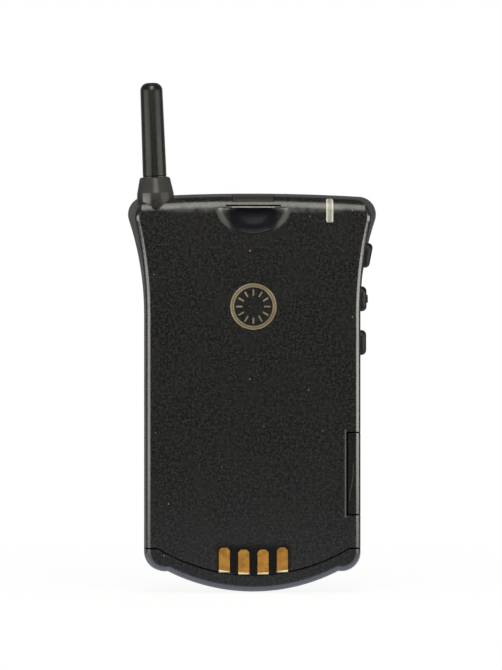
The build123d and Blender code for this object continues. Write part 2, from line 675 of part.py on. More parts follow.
# ---------------------------------------------------------------- rear housing
with BuildPart() as rear_housing:
    base_form()
    base_cavity()
    # backing for the scoop and the catch
    block(
        -SCOOP_BACKING_HALF,
        SCOOP_BACKING_HALF,
        FLOOR_Y,
        SCOOP_BACKING_Y,
        SCOOP_TOP - SCOOP_DROP,
        CATCH_BOTTOM - PART_GAP,
    )
    # rests of the guide tube, cradle of the motor, bosses of the screws
    for rise in TUBE_REST_RISES:
        height = COLLAR_TOP - ROD_LENGTH + rise
        x = mast_x(height)
        block(
            x - TUBE_RADIUS,
            x + TUBE_RADIUS,
            FLOOR_Y,
            BACK_Y + MAST_DEPTH,
            height - TUBE_REST_HALF,
            height + TUBE_REST_HALF,
        )
    block(
        MOTOR_X0 + CRADLE_END,
        MOTOR_X1 - CRADLE_END,
        FLOOR_Y,
        FLOOR_Y + CRADLE_HEIGHT,
        MOTOR_Z - MOTOR_RADIUS,
        MOTOR_Z + MOTOR_RADIUS,
    )
    bar(MOTOR_Y, MOTOR_Z, MOTOR_RADIUS + SEAT, MOTOR_X0, MOTOR_X1, Mode.SUBTRACT)
    for side in (-1, 1):
        for height in CASE_SCREW_HEIGHTS:
            disc(side * CASE_SCREW_X, height, BOSS_RADIUS, FLOOR_Y, BOARD_BACK_Y - SEAT)
            disc(
                side * CASE_SCREW_X,
                height,
                SCREW_RADIUS,
                BOARD_BACK_Y - SCREW_ENGAGE,
                BOARD_BACK_Y,
                Mode.SUBTRACT,
            )
    # collar of the antenna
    mast_turning((
        (0, 0),
        (COLLAR_RADIUS - COLLAR_BEVEL, 0),
        (COLLAR_RADIUS, -COLLAR_BEVEL),
        (COLLAR_KNEE_RADIUS, -COLLAR_KNEE),
        (MAST_DEPTH, -COLLAR_FOOT),
        (MAST_DEPTH, -BUSH_LENGTH - COLLAR_BEVEL),
        (0, -BUSH_LENGTH - COLLAR_BEVEL),
    ))
    mast_rod(BUSH_RADIUS, -BUSH_LENGTH, OVER, Mode.SUBTRACT)
    mast_rod(FLANGE_RADIUS + RUNNING, -FLANGE_SINK, OVER, Mode.SUBTRACT)
    mast_rod(TUBE_RADIUS, -ROD_LENGTH - TUBE_END_GAP - SEAT, -BUSH_LENGTH, Mode.SUBTRACT)
    # end cap, catch, scoop and slot
    cap_region(SEAM_GAP, Mode.SUBTRACT)
    add(SCOOP, mode=Mode.SUBTRACT)
    block(
        -SLOT_HALF,
        SLOT_HALF,
        BACK_Y - OVER,
        BACK_Y + SLOT_DEPTH,
        SLOT_BOTTOM,
        SLOT_BOTTOM + SLOT_HEIGHT,
        Mode.SUBTRACT,
    )
    block(
        -CATCH_HALF - PART_GAP,
        CATCH_HALF + PART_GAP,
        BACK_Y + CATCH_START - PART_GAP,
        BACK_Y + CATCH_START + CATCH_DEPTH + PART_GAP,
        CATCH_BOTTOM - PART_GAP,
        BODY_LENGTH + OVER,
        Mode.SUBTRACT,
    )
    # light pipe
    with BuildSketch(level(BOARD_BACK_Y)) as light_slot:
        with Locations((LIGHT_X, LIGHT_MIDDLE)):
            RectangleRounded(LIGHT_WIDTH + PART_GAP, LIGHT_LENGTH + PART_GAP, LIGHT_CORNER)
    extrude(light_slot.sketch, amount=REAR_DEPTH, mode=Mode.SUBTRACT)
    # contacts, open at the seam, with bevelled upper corners
    for x in CONTACT_XS:
        low = seam_z(abs(x)) - OVER
        high = seam_z(abs(x)) + CONTACT_LENGTH + FIT
        half = CONTACT_WIDTH / 2 + FIT
        with BuildSketch(level(FLOOR_Y + OVER)) as contact_slot:
            with BuildLine():
                Polyline(
                    (x - half, low),
                    (x + half, low),
                    (x + half, high - half / 2),
                    (x + half / 2, high),
                    (x - half / 2, high),
                    (x - half, high - half / 2),
                    close=True,
                )
            make_face()
        extrude(contact_slot.sketch, amount=FLOOR + 2 * OVER, mode=Mode.SUBTRACT)
    # emblem's grooves
    with BuildSketch(level(BACK_Y + EMBLEM_DEPTH)) as emblem_groove:
        with Locations((0, EMBLEM_Z)):
            Circle(EMBLEM_RADIUS)
            Circle(EMBLEM_RADIUS - EMBLEM_BAND, mode=Mode.SUBTRACT)
            with PolarLocations(TICK_RADIUS, TICK_COUNT):
                Rectangle(TICK_LENGTH, TICK_WIDTH)
    extrude(emblem_groove.sketch, amount=EMBLEM_DEPTH + OVER, mode=Mode.SUBTRACT)
    # door of the card tray, side keys
    block(
        DOOR_X,
        2 * WAIST_HALF,
        BACK_Y - OVER,
        DOOR_FRONT_Y + FIT,
        DOOR_BOTTOM,
        DOOR_TOP,
        Mode.SUBTRACT,
    )
    for number in range(len(SIDE_KEY_ZS)):
        pill(
            side_key_plane(number),
            SIDE_KEY_LENGTH + 2 * FIT,
            SIDE_KEY_WIDTH + 2 * FIT,
            -2 * WALL,
            2 * WALL,
            Mode.SUBTRACT,
        )
rear_housing.part.label = "rear_housing"
export_step(rear_housing.part, "parts/rear_housing.step")

# ---------------------------------------------------------------- end cap
with BuildPart() as bottom_cap:
    base_form()
    base_cavity()
    cap_region(mode=Mode.INTERSECT)
    block(
        -CONNECTOR_HALF - FIT,
        CONNECTOR_HALF + FIT,
        CONNECTOR_Y - FIT,
        BOARD_BACK_Y,
        -WALL,
        CONNECTOR_BOTTOM + WALL,
        Mode.SUBTRACT,
    )
bottom_cap.part.label = "bottom_cap"
export_step(bottom_cap.part, "parts/bottom_cap.step")

# ---------------------------------------------------------------- catch and light pipe
with BuildPart() as latch_catch:
    base_form()
    block(
        -CATCH_HALF,
        CATCH_HALF,
        BACK_Y + CATCH_START,
        BACK_Y + CATCH_START + CATCH_DEPTH,
        CATCH_BOTTOM,
        BODY_LENGTH + OVER,
        Mode.INTERSECT,
    )
latch_catch.part.label = "latch_catch"
export_step(latch_catch.part, "parts/latch_catch.step")

with BuildPart() as indicator_light_pipe:
    base_form()
    with BuildSketch(level(LIGHT_FOOT_Y)) as light_section:
        with Locations((LIGHT_X, LIGHT_MIDDLE)):
            RectangleRounded(LIGHT_WIDTH, LIGHT_LENGTH, LIGHT_CORNER)
    extrude(light_section.sketch, amount=REAR_DEPTH, mode=Mode.INTERSECT)
indicator_light_pipe.part.label = "indicator_light_pipe"
export_step(indicator_light_pipe.part, "parts/indicator_light_pipe.step")

# ---------------------------------------------------------------- emblem, flush in its grooves
with BuildPart() as emblem_ring:
    with BuildSketch(level(BACK_Y + EMBLEM_DEPTH)) as emblem_face:
        with Locations((0, EMBLEM_Z)):
            Circle(EMBLEM_RADIUS - RUNNING)
            Circle(EMBLEM_RADIUS - EMBLEM_BAND + RUNNING, mode=Mode.SUBTRACT)
            with PolarLocations(TICK_RADIUS, TICK_COUNT):
                Rectangle(TICK_LENGTH - RUNNING, TICK_WIDTH - RUNNING)
    extrude(emblem_face.sketch, amount=EMBLEM_DEPTH)
emblem_ring.part.label = "emblem_ring"
export_step(emblem_ring.part, "parts/emblem_ring.step")

# ---------------------------------------------------------------- contacts and their block
with BuildPart() as charging_contacts:
    for x in CONTACT_XS:
        low = seam_z(abs(x)) + FIT
        high = seam_z(abs(x)) + CONTACT_LENGTH
        half = CONTACT_WIDTH / 2
        with BuildSketch(level(CONTACT_Y + CONTACT_THICK)) as strip:
            with BuildLine():
                Polyline(
                    (x - half, low + CONTACT_BEND),
                    (x + half, low + CONTACT_BEND),
                    (x + half, high - half / 2),
                    (x + half / 2, high),
                    (x - half / 2, high),
                    (x - half, high - half / 2),
                    close=True,
                )
            make_face()
        extrude(strip.sketch, amount=CONTACT_THICK)
        # bent lip at the lower end
        with BuildSketch(across(x - half)) as lip:
            with Locations((CONTACT_Y + CONTACT_BEND, low + CONTACT_BEND)):
                Circle(CONTACT_BEND)
                Circle(CONTACT_BEND - CONTACT_THICK, mode=Mode.SUBTRACT)
                Rectangle(CONTACT_BEND, CONTACT_BEND, align=Align.MIN, mode=Mode.SUBTRACT)
                Rectangle(
                    CONTACT_BEND,
                    CONTACT_BEND,
                    align=(Align.MAX, Align.MIN),
                    mode=Mode.SUBTRACT,
                )
                Rectangle(
                    CONTACT_BEND,
                    CONTACT_BEND,
                    align=(Align.MIN, Align.MAX),
                    mode=Mode.SUBTRACT,
                )
        extrude(lip.sketch, amount=CONTACT_WIDTH)
        # leg through the block to the board
        block(
            x - CONTACT_LEG_HALF,
            x + CONTACT_LEG_HALF,
            CONTACT_Y + CONTACT_THICK,
            BOARD_BACK_Y - SEAT,
            LEG_Z,
            LEG_Z + CONTACT_THICK,
        )
charging_contacts.part.label = "charging_contacts"
export_step(charging_contacts.part, "parts/charging_contacts.step")

with BuildPart() as contact_block:
    block(
        -BLOCK_HALF,
        BLOCK_HALF,
        FLOOR_Y + SEAT,
        CONNECTOR_Y - SEAT,
        BLOCK_BOTTOM,
        BLOCK_TOP,
    )
    block(
        -BLOCK_HALF,
        BLOCK_HALF,
        CONNECTOR_Y - SEAT,
        BOARD_BACK_Y - SEAT,
        CONNECTOR_TOP + SEAT,
        BLOCK_TOP,
    )
    for x in CONTACT_XS:
        # rib that fills the slot behind the contact
        block(
            x - CONTACT_WIDTH / 2,
            x + CONTACT_WIDTH / 2,
            CONTACT_Y + CONTACT_THICK,
            FLOOR_Y + SEAT,
            BLOCK_BOTTOM,
            seam_z(abs(x)) + CONTACT_LENGTH - CONTACT_WIDTH / 4,
        )
        block(
            x - CONTACT_LEG_HALF - SEAT,
            x + CONTACT_LEG_HALF + SEAT,
            CONTACT_Y,
            BOARD_BACK_Y,
            LEG_Z - SEAT,
            LEG_Z + CONTACT_THICK + SEAT,
            Mode.SUBTRACT,
        )
contact_block.part.label = "contact_block"
export_step(contact_block.part, "parts/contact_block.step")

with BuildPart() as accessory_connector:
    block(
        -CONNECTOR_HALF,
        CONNECTOR_HALF,
        CONNECTOR_Y,
        BOARD_BACK_Y - SEAT,
        CONNECTOR_BOTTOM,
        CONNECTOR_TOP,
    )
    block(
        -CONNECTOR_HALF + CONNECTOR_SHELL,
        CONNECTOR_HALF - CONNECTOR_SHELL,
        CONNECTOR_Y + CONNECTOR_SHELL,
        BOARD_BACK_Y - SEAT - CONNECTOR_SHELL,
        CONNECTOR_BOTTOM - OVER,
        CONNECTOR_TOP - CONNECTOR_BACK,
        Mode.SUBTRACT,
    )
    # tongue that carries the contacts
    block(
        -CONNECTOR_HALF + TONGUE_SIDE,
        CONNECTOR_HALF - TONGUE_SIDE,
        CONNECTOR_Y + CONNECTOR_DEPTH / 2 - TONGUE_HALF,
        CONNECTOR_Y + CONNECTOR_DEPTH / 2 + TONGUE_HALF,
        CONNECTOR_BOTTOM + TONGUE_SINK,
        CONNECTOR_TOP - CONNECTOR_BACK,
    )
accessory_connector.part.label = "accessory_connector"
export_step(accessory_connector.part, "parts/accessory_connector.step")

# ---------------------------------------------------------------- front housing
with BuildPart() as front_housing:
    extrude(outline(FRONT_Y), amount=FRONT_Y - FRONT_BACK_Y)
    fillet(faces().sort_by(Axis.Y)[-1].edges(), RIM_RADIUS)
    extrude(outline(PLATE_Y, WALL), amount=PLATE_Y - FRONT_BACK_Y, mode=Mode.SUBTRACT)
    # wall behind the cove of the lid's knuckle
    block(
        -COVE_HALF - WALL,
        COVE_HALF + WALL,
        COVE_WALL_Y,
        PLATE_Y,
        HINGE_Z - COVE_RADIUS,
        BODY_LENGTH - WALL,
    )
    # knuckles and their webs
    for side in (-1, 1):
        x0, x1 = sorted((side * COVE_HALF, side * KNUCKLE_END))
        bar(HINGE_Y, HINGE_Z, HINGE_RADIUS, x0, x1)
        block(x0, x1, FRONT_Y - WEB_ROOT, HINGE_Y, WEB_BOTTOM, HINGE_Z + HINGE_RADIUS - WEB_STEP)
    bar(HINGE_Y, HINGE_Z, COVE_RADIUS, -COVE_HALF, COVE_HALF, Mode.SUBTRACT)
    bar(HINGE_Y, HINGE_Z, PIN_RADIUS, -PIN_END, PIN_END, Mode.SUBTRACT)
    # room for the flex circuit, and its way to the board
    bar(HINGE_Y, HINGE_Z, FLEX_BORE, COVE_HALF, FLEX_X1 + SLIDE_GAP, Mode.SUBTRACT)
    block(
        FLEX_TAIL_X - FLEX_SLIT_SIDE,
        FLEX_TAIL_X + FLEX_WIDTH + FLEX_SLIT_SIDE,
        FRONT_BACK_Y - OVER,
        HINGE_Y,
        HINGE_Z - FLEX_SLIT_HALF,
        HINGE_Z + FLEX_SLIT_HALF,
        Mode.SUBTRACT,
    )
    # screw posts
    for side in (-1, 1):
        for height in CASE_SCREW_HEIGHTS:
            disc(side * CASE_SCREW_X, height, BOSS_RADIUS, BOARD_FRONT_Y + SEAT, PLATE_Y + PART_GAP)
            disc(
                side * CASE_SCREW_X,
                height,
                SCREW_HOLE,
                BOARD_FRONT_Y - OVER,
                FRONT_Y + OVER,
                Mode.SUBTRACT,
            )
            disc(
                side * CASE_SCREW_X,
                height,
                SCREW_HEAD_RADIUS + FIT,
                FRONT_Y - SCREW_HEAD - FIT,
                FRONT_Y + OVER,
                Mode.SUBTRACT,
            )
    # sunken keypad panel and its key holes
    with BuildSketch(level(FRONT_Y + OVER)) as panel:
        with Locations((0, PAD_MIDDLE)):
            RectangleRounded(PANEL_WIDTH, PANEL_HEIGHT, KEY_CORNER + PANEL_MARGIN)
    extrude(panel.sketch, amount=OVER + PANEL_SINK, mode=Mode.SUBTRACT)
    with BuildSketch(level(FRONT_Y)) as key_holes:
        with Locations((0, PAD_MIDDLE)):
            with GridLocations(KEY_PITCH_X, KEY_PITCH_Z, KEY_COLUMNS, KEY_ROWS):
                RectangleRounded(
                    KEY_WIDTH + 2 * KEY_FIT,
                    KEY_HEIGHT + 2 * KEY_FIT,
                    KEY_CORNER + KEY_FIT,
                )
    extrude(key_holes.sketch, amount=BASE_DEPTH - REAR_DEPTH - PART_GAP, mode=Mode.SUBTRACT)
    # display window with a ledge for the lens
    with BuildSketch(level(FRONT_Y + OVER)) as lens_seat:
        with Locations((0, DISPLAY_Z)):
            RectangleRounded(LENS_WIDTH + 2 * RUNNING, LENS_HEIGHT + 2 * RUNNING, LENS_CORNER)
    extrude(lens_seat.sketch, amount=OVER + LENS_THICK, mode=Mode.SUBTRACT)
    with BuildSketch(level(FRONT_Y)) as window:
        with Locations((0, DISPLAY_Z)):
            RectangleRounded(
                LENS_WIDTH - 2 * LENS_LEDGE,
                LENS_HEIGHT - 2 * LENS_LEDGE,
                LENS_CORNER - LENS_LEDGE / 2,
            )
    extrude(window.sketch, amount=BASE_DEPTH - REAR_DEPTH, mode=Mode.SUBTRACT)
    disc(0, MIC_Z, MIC_HOLE, PLATE_Y - OVER, FRONT_Y + OVER, Mode.SUBTRACT)
front_housing.part.label = "front_housing"
export_step(front_housing.part, "parts/front_housing.step")

with BuildPart() as microphone:
    disc(0, MIC_Z, MIC_RADIUS, PLATE_Y - SEAT - MIC_THICK, PLATE_Y - SEAT)
    disc(0, MIC_Z, MIC_HOLE, PLATE_Y - MIC_PORT, PLATE_Y, Mode.SUBTRACT)
microphone.part.label = "microphone"
export_step(microphone.part, "parts/microphone.step")

# ---------------------------------------------------------------- display
with BuildPart() as display_lens:
    with BuildSketch(level(FRONT_Y)) as lens_face:
        with Locations((0, DISPLAY_Z)):
            RectangleRounded(LENS_WIDTH, LENS_HEIGHT, LENS_CORNER)
    extrude(lens_face.sketch, amount=LENS_THICK)
    fillet(faces().sort_by(Axis.Y)[-1].edges(), LENS_ROUND)
display_lens.part.label = "display_lens"
export_step(display_lens.part, "parts/display_lens.step")

with BuildPart() as display_module:
    with BuildSketch(level(PLATE_Y - SEAT)) as module_face:
        with Locations((0, DISPLAY_Z)):
            Rectangle(LENS_WIDTH, LENS_HEIGHT)
    extrude(module_face.sketch, amount=MODULE_THICK)
display_module.part.label = "display_module"
export_step(display_module.part, "parts/display_module.step")

with BuildPart() as display_frame:
    with BuildSketch(level(PLATE_Y - SEAT)) as frame_face:
        with Locations((0, DISPLAY_Z)):
            Rectangle(LENS_WIDTH + 2 * FRAME_WALL, LENS_HEIGHT + 2 * FRAME_WALL)
    extrude(frame_face.sketch, amount=PLATE_Y - BOARD_FRONT_Y - 2 * SEAT)
    with BuildSketch(level(PLATE_Y)) as frame_window:
        with Locations((0, DISPLAY_Z)):
            Rectangle(LENS_WIDTH + 2 * SEAT, LENS_HEIGHT + 2 * SEAT)
    extrude(frame_window.sketch, amount=MODULE_THICK + 2 * SEAT, mode=Mode.SUBTRACT)
display_frame.part.label = "display_frame"
export_step(display_frame.part, "parts/display_frame.step")

# ---------------------------------------------------------------- keypad
with BuildPart() as keypad_mat:
    with BuildSketch(level(BOARD_FRONT_Y + SEAT + MAT_THICK)) as mat_face:
        with Locations((0, PAD_MIDDLE)):
            RectangleRounded(
                PANEL_WIDTH - 2 * MAT_MARGIN,
                PANEL_HEIGHT - 2 * MAT_MARGIN,
                KEY_CORNER + PANEL_MARGIN - MAT_MARGIN,
            )
    extrude(mat_face.sketch, amount=MAT_THICK)
    with BuildSketch(level(DOME_TOP_Y)) as domes:
        with Locations((0, PAD_MIDDLE)):
            with GridLocations(KEY_PITCH_X, KEY_PITCH_Z, KEY_COLUMNS, KEY_ROWS):
                Circle(DOME_RADIUS)
    extrude(domes.sketch, amount=DOME_TOP_Y - BOARD_FRONT_Y - SEAT - MAT_THICK / 2)
keypad_mat.part.label = "keypad_mat"
export_step(keypad_mat.part, "parts/keypad_mat.step")

KEY_NAMES = (
    ("key_star", "key_0", "key_hash"),
    ("key_7", "key_8", "key_9"),
    ("key_4", "key_5", "key_6"),
    ("key_1", "key_2", "key_3"),
    ("key_clear", "key_menu", "key_call"),
)
for row, z in zip(KEY_NAMES, KEY_ZS):
    for name, x in zip(row, reversed(KEY_XS)):
        with BuildPart() as keypad_key:
            with BuildSketch(level(KEY_TOP_Y)) as key_face:
                with Locations((x, z)):
                    RectangleRounded(KEY_WIDTH, KEY_HEIGHT, KEY_CORNER)
            extrude(key_face.sketch, amount=KEY_TOP_Y - KEY_FOOT_Y)
            fillet(faces().sort_by(Axis.Y)[-1].edges(), KEY_EDGE)
            with BuildSketch(level(KEY_LIP_Y)) as key_lip:
                with Locations((x, z)):
                    RectangleRounded(
                        KEY_WIDTH + 2 * KEY_LIP,
                        KEY_HEIGHT + 2 * KEY_LIP,
                        KEY_CORNER + KEY_LIP,
                    )
            extrude(key_lip.sketch, amount=KEY_LIP_THICK)
        keypad_key.part.label = name
        export_step(keypad_key.part, f"parts/{name}.step")

# ---------------------------------------------------------------- board and what is on it
with BuildPart() as main_board:
    extrude(outline(BOARD_FRONT_Y, BOARD_INSET, BOARD_TOP), amount=BOARD_THICK)
    block(
        -2 * WAIST_HALF,
        2 * WAIST_HALF,
        BOARD_BACK_Y - OVER,
        BOARD_FRONT_Y + OVER,
        -BODY_LENGTH,
        BOARD_BOTTOM,
        Mode.SUBTRACT,
    )
    for side in (-1, 1):
        for height in CASE_SCREW_HEIGHTS:
            disc(
                side * CASE_SCREW_X,
                height,
                SCREW_HOLE,
                BOARD_BACK_Y - OVER,
                BOARD_FRONT_Y + OVER,
                Mode.SUBTRACT,
            )
main_board.part.label = "main_board"
export_step(main_board.part, "parts/main_board.step")

with BuildPart() as rf_shield:
    block(
        -SHIELD_HALF,
        SHIELD_HALF,
        BOARD_BACK_Y - SHIELD_HEIGHT,
        BOARD_BACK_Y,
        SHIELD_BOTTOM,
        SHIELD_TOP,
    )
    fillet(faces().sort_by(Axis.Y)[0].edges(), SHIELD_ROUND)
    block(
        -SHIELD_HALF + SHIELD_WALL,
        SHIELD_HALF - SHIELD_WALL,
        BOARD_BACK_Y - SHIELD_HEIGHT + SHIELD_WALL,
        BOARD_BACK_Y + OVER,
        SHIELD_BOTTOM + SHIELD_WALL,
        SHIELD_TOP - SHIELD_WALL,
        Mode.SUBTRACT,
    )
rf_shield.part.label = "rf_shield"
export_step(rf_shield.part, "parts/rf_shield.step")

# centre x, centre z, width, height, thickness of each component on the back of the board:
# four chips under the shield, in shares of its length, and the rest at the board's ends
SHIELD_LENGTH = SHIELD_TOP - SHIELD_BOTTOM
LOWER_CHIPS_Z = SHIELD_BOTTOM + 0.25 * SHIELD_LENGTH
UPPER_CHIPS_Z = SHIELD_BOTTOM + 0.72 * SHIELD_LENGTH
COMPONENTS = (
    (-SHIELD_HALF / 2, LOWER_CHIPS_Z, 9.0, 0.3 * SHIELD_LENGTH, 1.2),
    (SHIELD_HALF / 2, LOWER_CHIPS_Z, 9.0, 0.3 * SHIELD_LENGTH, 1.2),
    (-SHIELD_HALF / 2, UPPER_CHIPS_Z, 7.0, 0.33 * SHIELD_LENGTH, 1.4),
    (SHIELD_HALF / 2, UPPER_CHIPS_Z, 11.0, 0.23 * SHIELD_LENGTH, 1.2),
    (-SHIELD_HALF, DOOR_TOP - TRAY_END, 8.0, 5.5, 1.5),
    (-5.0, SHIELD_TOP + 6.5, 9.0, 4.5, 1.8),
    (8.0, SHIELD_TOP + 6.0, 5.0, 3.2, 1.0),
    (-15.0, 16.5, 4.0, 3.0, 1.6),
    (LIGHT_X, LIGHT_BOTTOM + 0.9, 1.6, 0.8, LED_THICK),
)
with BuildPart() as board_components:
    for x, z, width, height, thick in COMPONENTS:
        block(
            x - width / 2,
            x + width / 2,
            BOARD_BACK_Y - thick,
            BOARD_BACK_Y,
            z - height / 2,
            z + height / 2,
        )
board_components.part.label = "board_components"
export_step(board_components.part, "parts/board_components.step")

# ---------------------------------------------------------------- side keys and their switches
SIDE_KEY_NAMES = ("volume_down_key", "smart_key", "volume_up_key")
for number, name in enumerate(SIDE_KEY_NAMES):
    plane = side_key_plane(number)
    with BuildPart() as side_key:
        pill(plane, SIDE_KEY_LENGTH, SIDE_KEY_WIDTH, LIP_START, SIDE_KEY_PROUD)
        fillet(faces().sort_by(Axis(plane.origin, plane.z_dir))[-1].edges(), SIDE_KEY_ROUND)
        if name == "smart_key":
            pill(plane, NUB_LENGTH, NUB_WIDTH, 0, SIDE_KEY_PROUD + NUB_PROUD)
        with BuildSketch(plane.offset(LIP_START - SIDE_KEY_LIP)) as lip_face:
            SlotOverall(SIDE_KEY_LENGTH + 2 * SIDE_KEY_LIP, SIDE_KEY_WIDTH)
        extrude(lip_face.sketch, amount=SIDE_KEY_LIP)
    side_key.part.label = name
    export_step(side_key.part, f"parts/{name}.step")

with BuildPart() as side_switches:
    for number in range(len(SIDE_KEY_ZS)):
        with BuildSketch(side_key_plane(number).offset(SWITCH_START)) as switch_face:
            Rectangle(SWITCH_LENGTH, SIDE_KEY_WIDTH)
        extrude(switch_face.sketch, amount=-SWITCH_DEPTH)
side_switches.part.label = "side_switches"
export_step(side_switches.part, "parts/side_switches.step")

# ---------------------------------------------------------------- antenna
with BuildPart() as antenna_bushing:
    mast_rod(BUSH_RADIUS, -BUSH_LENGTH, 0)
    mast_rod(FLANGE_RADIUS, -FLANGE_SINK, FLANGE_THICK - FLANGE_SINK)
    mast_rod(ROD_RADIUS + RUNNING, -BUSH_LENGTH - OVER, FLANGE_THICK + OVER, Mode.SUBTRACT)
antenna_bushing.part.label = "antenna_bushing"
export_step(antenna_bushing.part, "parts/antenna_bushing.step")

with BuildPart() as antenna_guide_tube:
    mast_rod(TUBE_RADIUS, -ROD_LENGTH - TUBE_END_GAP, -BUSH_LENGTH - 2 * SEAT)
    mast_rod(TUBE_BORE, -ROD_LENGTH - TUBE_END_GAP - OVER, 0, Mode.SUBTRACT)
antenna_guide_tube.part.label = "antenna_guide_tube"
export_step(antenna_guide_tube.part, "parts/antenna_guide_tube.step")

SLEEVE_FOOT = FLANGE_THICK - FLANGE_SINK + SEAT
with BuildPart() as antenna_rod:
    mast_rod(ROD_RADIUS, -ROD_LENGTH, SLEEVE_FOOT + ROD_GRIP)
    mast_rod(FERRULE_RADIUS, -ROD_LENGTH, -ROD_LENGTH + FERRULE_LENGTH)
antenna_rod.part.label = "antenna_rod"
export_step(antenna_rod.part, "parts/antenna_rod.step")

with BuildPart() as antenna_sleeve:
    mast_turning((
        (0, SLEEVE_FOOT),
        (SLEEVE_RADIUS - SLEEVE_BEVEL, SLEEVE_FOOT),
        (SLEEVE_RADIUS, SLEEVE_FOOT + SLEEVE_BEVEL),
        (SLEEVE_TIP_RADIUS, SLEEVE_FOOT + SLEEVE_LENGTH),
        (0, SLEEVE_FOOT + SLEEVE_LENGTH),
    ))
    fillet(
        edges().filter_by(GeomType.CIRCLE).sort_by(Axis.Z)[-1],
        TIP_ROUNDNESS * SLEEVE_TIP_RADIUS,
    )
    mast_rod(ROD_RADIUS, 0, SLEEVE_FOOT + ROD_GRIP, Mode.SUBTRACT)
antenna_sleeve.part.label = "antenna_sleeve"
export_step(antenna_sleeve.part, "parts/antenna_sleeve.step")

# ---------------------------------------------------------------- vibrator
with BuildPart() as vibrator_motor:
    bar(MOTOR_Y, MOTOR_Z, MOTOR_RADIUS, MOTOR_X0, MOTOR_X1)
    bar(
        MOTOR_Y,
        MOTOR_Z,
        SHAFT_RADIUS + RUNNING,
        MOTOR_X1 - SHAFT_SINK - SEAT,
        MOTOR_X1 + OVER,
        Mode.SUBTRACT,
    )
vibrator_motor.part.label = "vibrator_motor"
export_step(vibrator_motor.part, "parts/vibrator_motor.step")

WEIGHT_X0 = MOTOR_X1 + WEIGHT_GAP
WEIGHT_X1 = WEIGHT_X0 + WEIGHT_LENGTH
with BuildPart() as vibrator_weight:
    with BuildSketch(across(WEIGHT_X0)) as weight_face:
        with Locations((MOTOR_Y, MOTOR_Z)):
            Circle(MOTOR_RADIUS - WEIGHT_STEP)
        with Locations((MOTOR_Y, MOTOR_Z + SHAFT_RADIUS)):
            Rectangle(
                3 * MOTOR_RADIUS,
                3 * MOTOR_RADIUS,
                align=(Align.CENTER, Align.MIN),
                mode=Mode.SUBTRACT,
            )
    extrude(weight_face.sketch, amount=WEIGHT_X1 - WEIGHT_X0)
    bar(MOTOR_Y, MOTOR_Z, SHAFT_RADIUS, MOTOR_X1 - SHAFT_SINK, WEIGHT_X1 + SHAFT_PROUD)
vibrator_weight.part.label = "vibrator_weight"
export_step(vibrator_weight.part, "parts/vibrator_weight.step")

# ---------------------------------------------------------------- card tray, card and socket
with BuildPart() as sim_tray:
    base_form()
    block(
        DOOR_X + DOOR_GAP,
        2 * WAIST_HALF,
        BACK_Y - OVER,
        DOOR_FRONT_Y,
        DOOR_BOTTOM + DOOR_GAP,
        DOOR_TOP - DOOR_GAP,
        Mode.INTERSECT,
    )
    block(DOOR_X - TRAY_LENGTH, DOOR_X + DOOR_GAP, TRAY_Y, TRAY_Y + TRAY_THICK, TRAY_BOTTOM, TRAY_TOP)
    block(
        CARD_X - CARD_LENGTH / 2 - SEAT,
        CARD_X + CARD_LENGTH / 2 + SEAT,
        CARD_Y,
        TRAY_Y + TRAY_THICK + OVER,
        TRAY_MIDDLE - CARD_HEIGHT / 2 - SEAT,
        TRAY_MIDDLE + CARD_HEIGHT / 2 + SEAT,
        Mode.SUBTRACT,
    )
sim_tray.part.label = "sim_tray"
export_step(sim_tray.part, "parts/sim_tray.step")

with BuildPart() as sim_card:
    with BuildSketch(level(CARD_Y + CARD_THICK)) as card_face:
        with Locations((CARD_X, TRAY_MIDDLE)):
            Rectangle(CARD_LENGTH, CARD_HEIGHT)
        chamfer(card_face.vertices().sort_by(Axis.X)[0], CARD_CORNER)
    extrude(card_face.sketch, amount=CARD_THICK)
sim_card.part.label = "sim_card"
export_step(sim_card.part, "parts/sim_card.step")

with BuildPart() as sim_socket:
    for z in (DOOR_BOTTOM, DOOR_TOP - RAIL_WIDTH):
        block(
            SOCKET_X0,
            SOCKET_X1,
            FLOOR_Y + SEAT,
            BOARD_BACK_Y - SEAT,
            z,
            z + RAIL_WIDTH,
        )
    block(
        SOCKET_X0,
        SOCKET_X1,
        SOCKET_BACK_Y,
        SOCKET_BACK_Y + SOCKET_PLATE,
        DOOR_BOTTOM,
        DOOR_TOP,
    )
sim_socket.part.label = "sim_socket"
export_step(sim_socket.part, "parts/sim_socket.step")

# ---------------------------------------------------------------- screws of the base
with BuildPart() as case_screws:
    for side in (-1, 1):
        for height in CASE_SCREW_HEIGHTS:
            x = side * CASE_SCREW_X
            head_y = FRONT_Y - FIT - SCREW_HEAD
            disc(x, height, SCREW_HEAD_RADIUS, head_y, FRONT_Y - FIT)
            disc(x, height, SCREW_RADIUS, BOARD_BACK_Y - SCREW_ENGAGE + SCREW_TIP_GAP, head_y)
            with BuildSketch(level(FRONT_Y)) as recess:
                with Locations((x, height)):
                    Rectangle(RECESS_LENGTH, RECESS_WIDTH)
                    Rectangle(RECESS_WIDTH, RECESS_LENGTH)
            extrude(recess.sketch, amount=FIT + SCREW_HEAD / 2, mode=Mode.SUBTRACT)
case_screws.part.label = "case_screws"
export_step(case_screws.part, "parts/case_screws.step")

# ---------------------------------------------------------------- hinge
with BuildPart() as hinge_pin:
    bar(HINGE_Y, HINGE_Z, PIN_RADIUS, -PIN_END, PIN_END)
hinge_pin.part.label = "hinge_pin"
export_step(hinge_pin.part, "parts/hinge_pin.step")

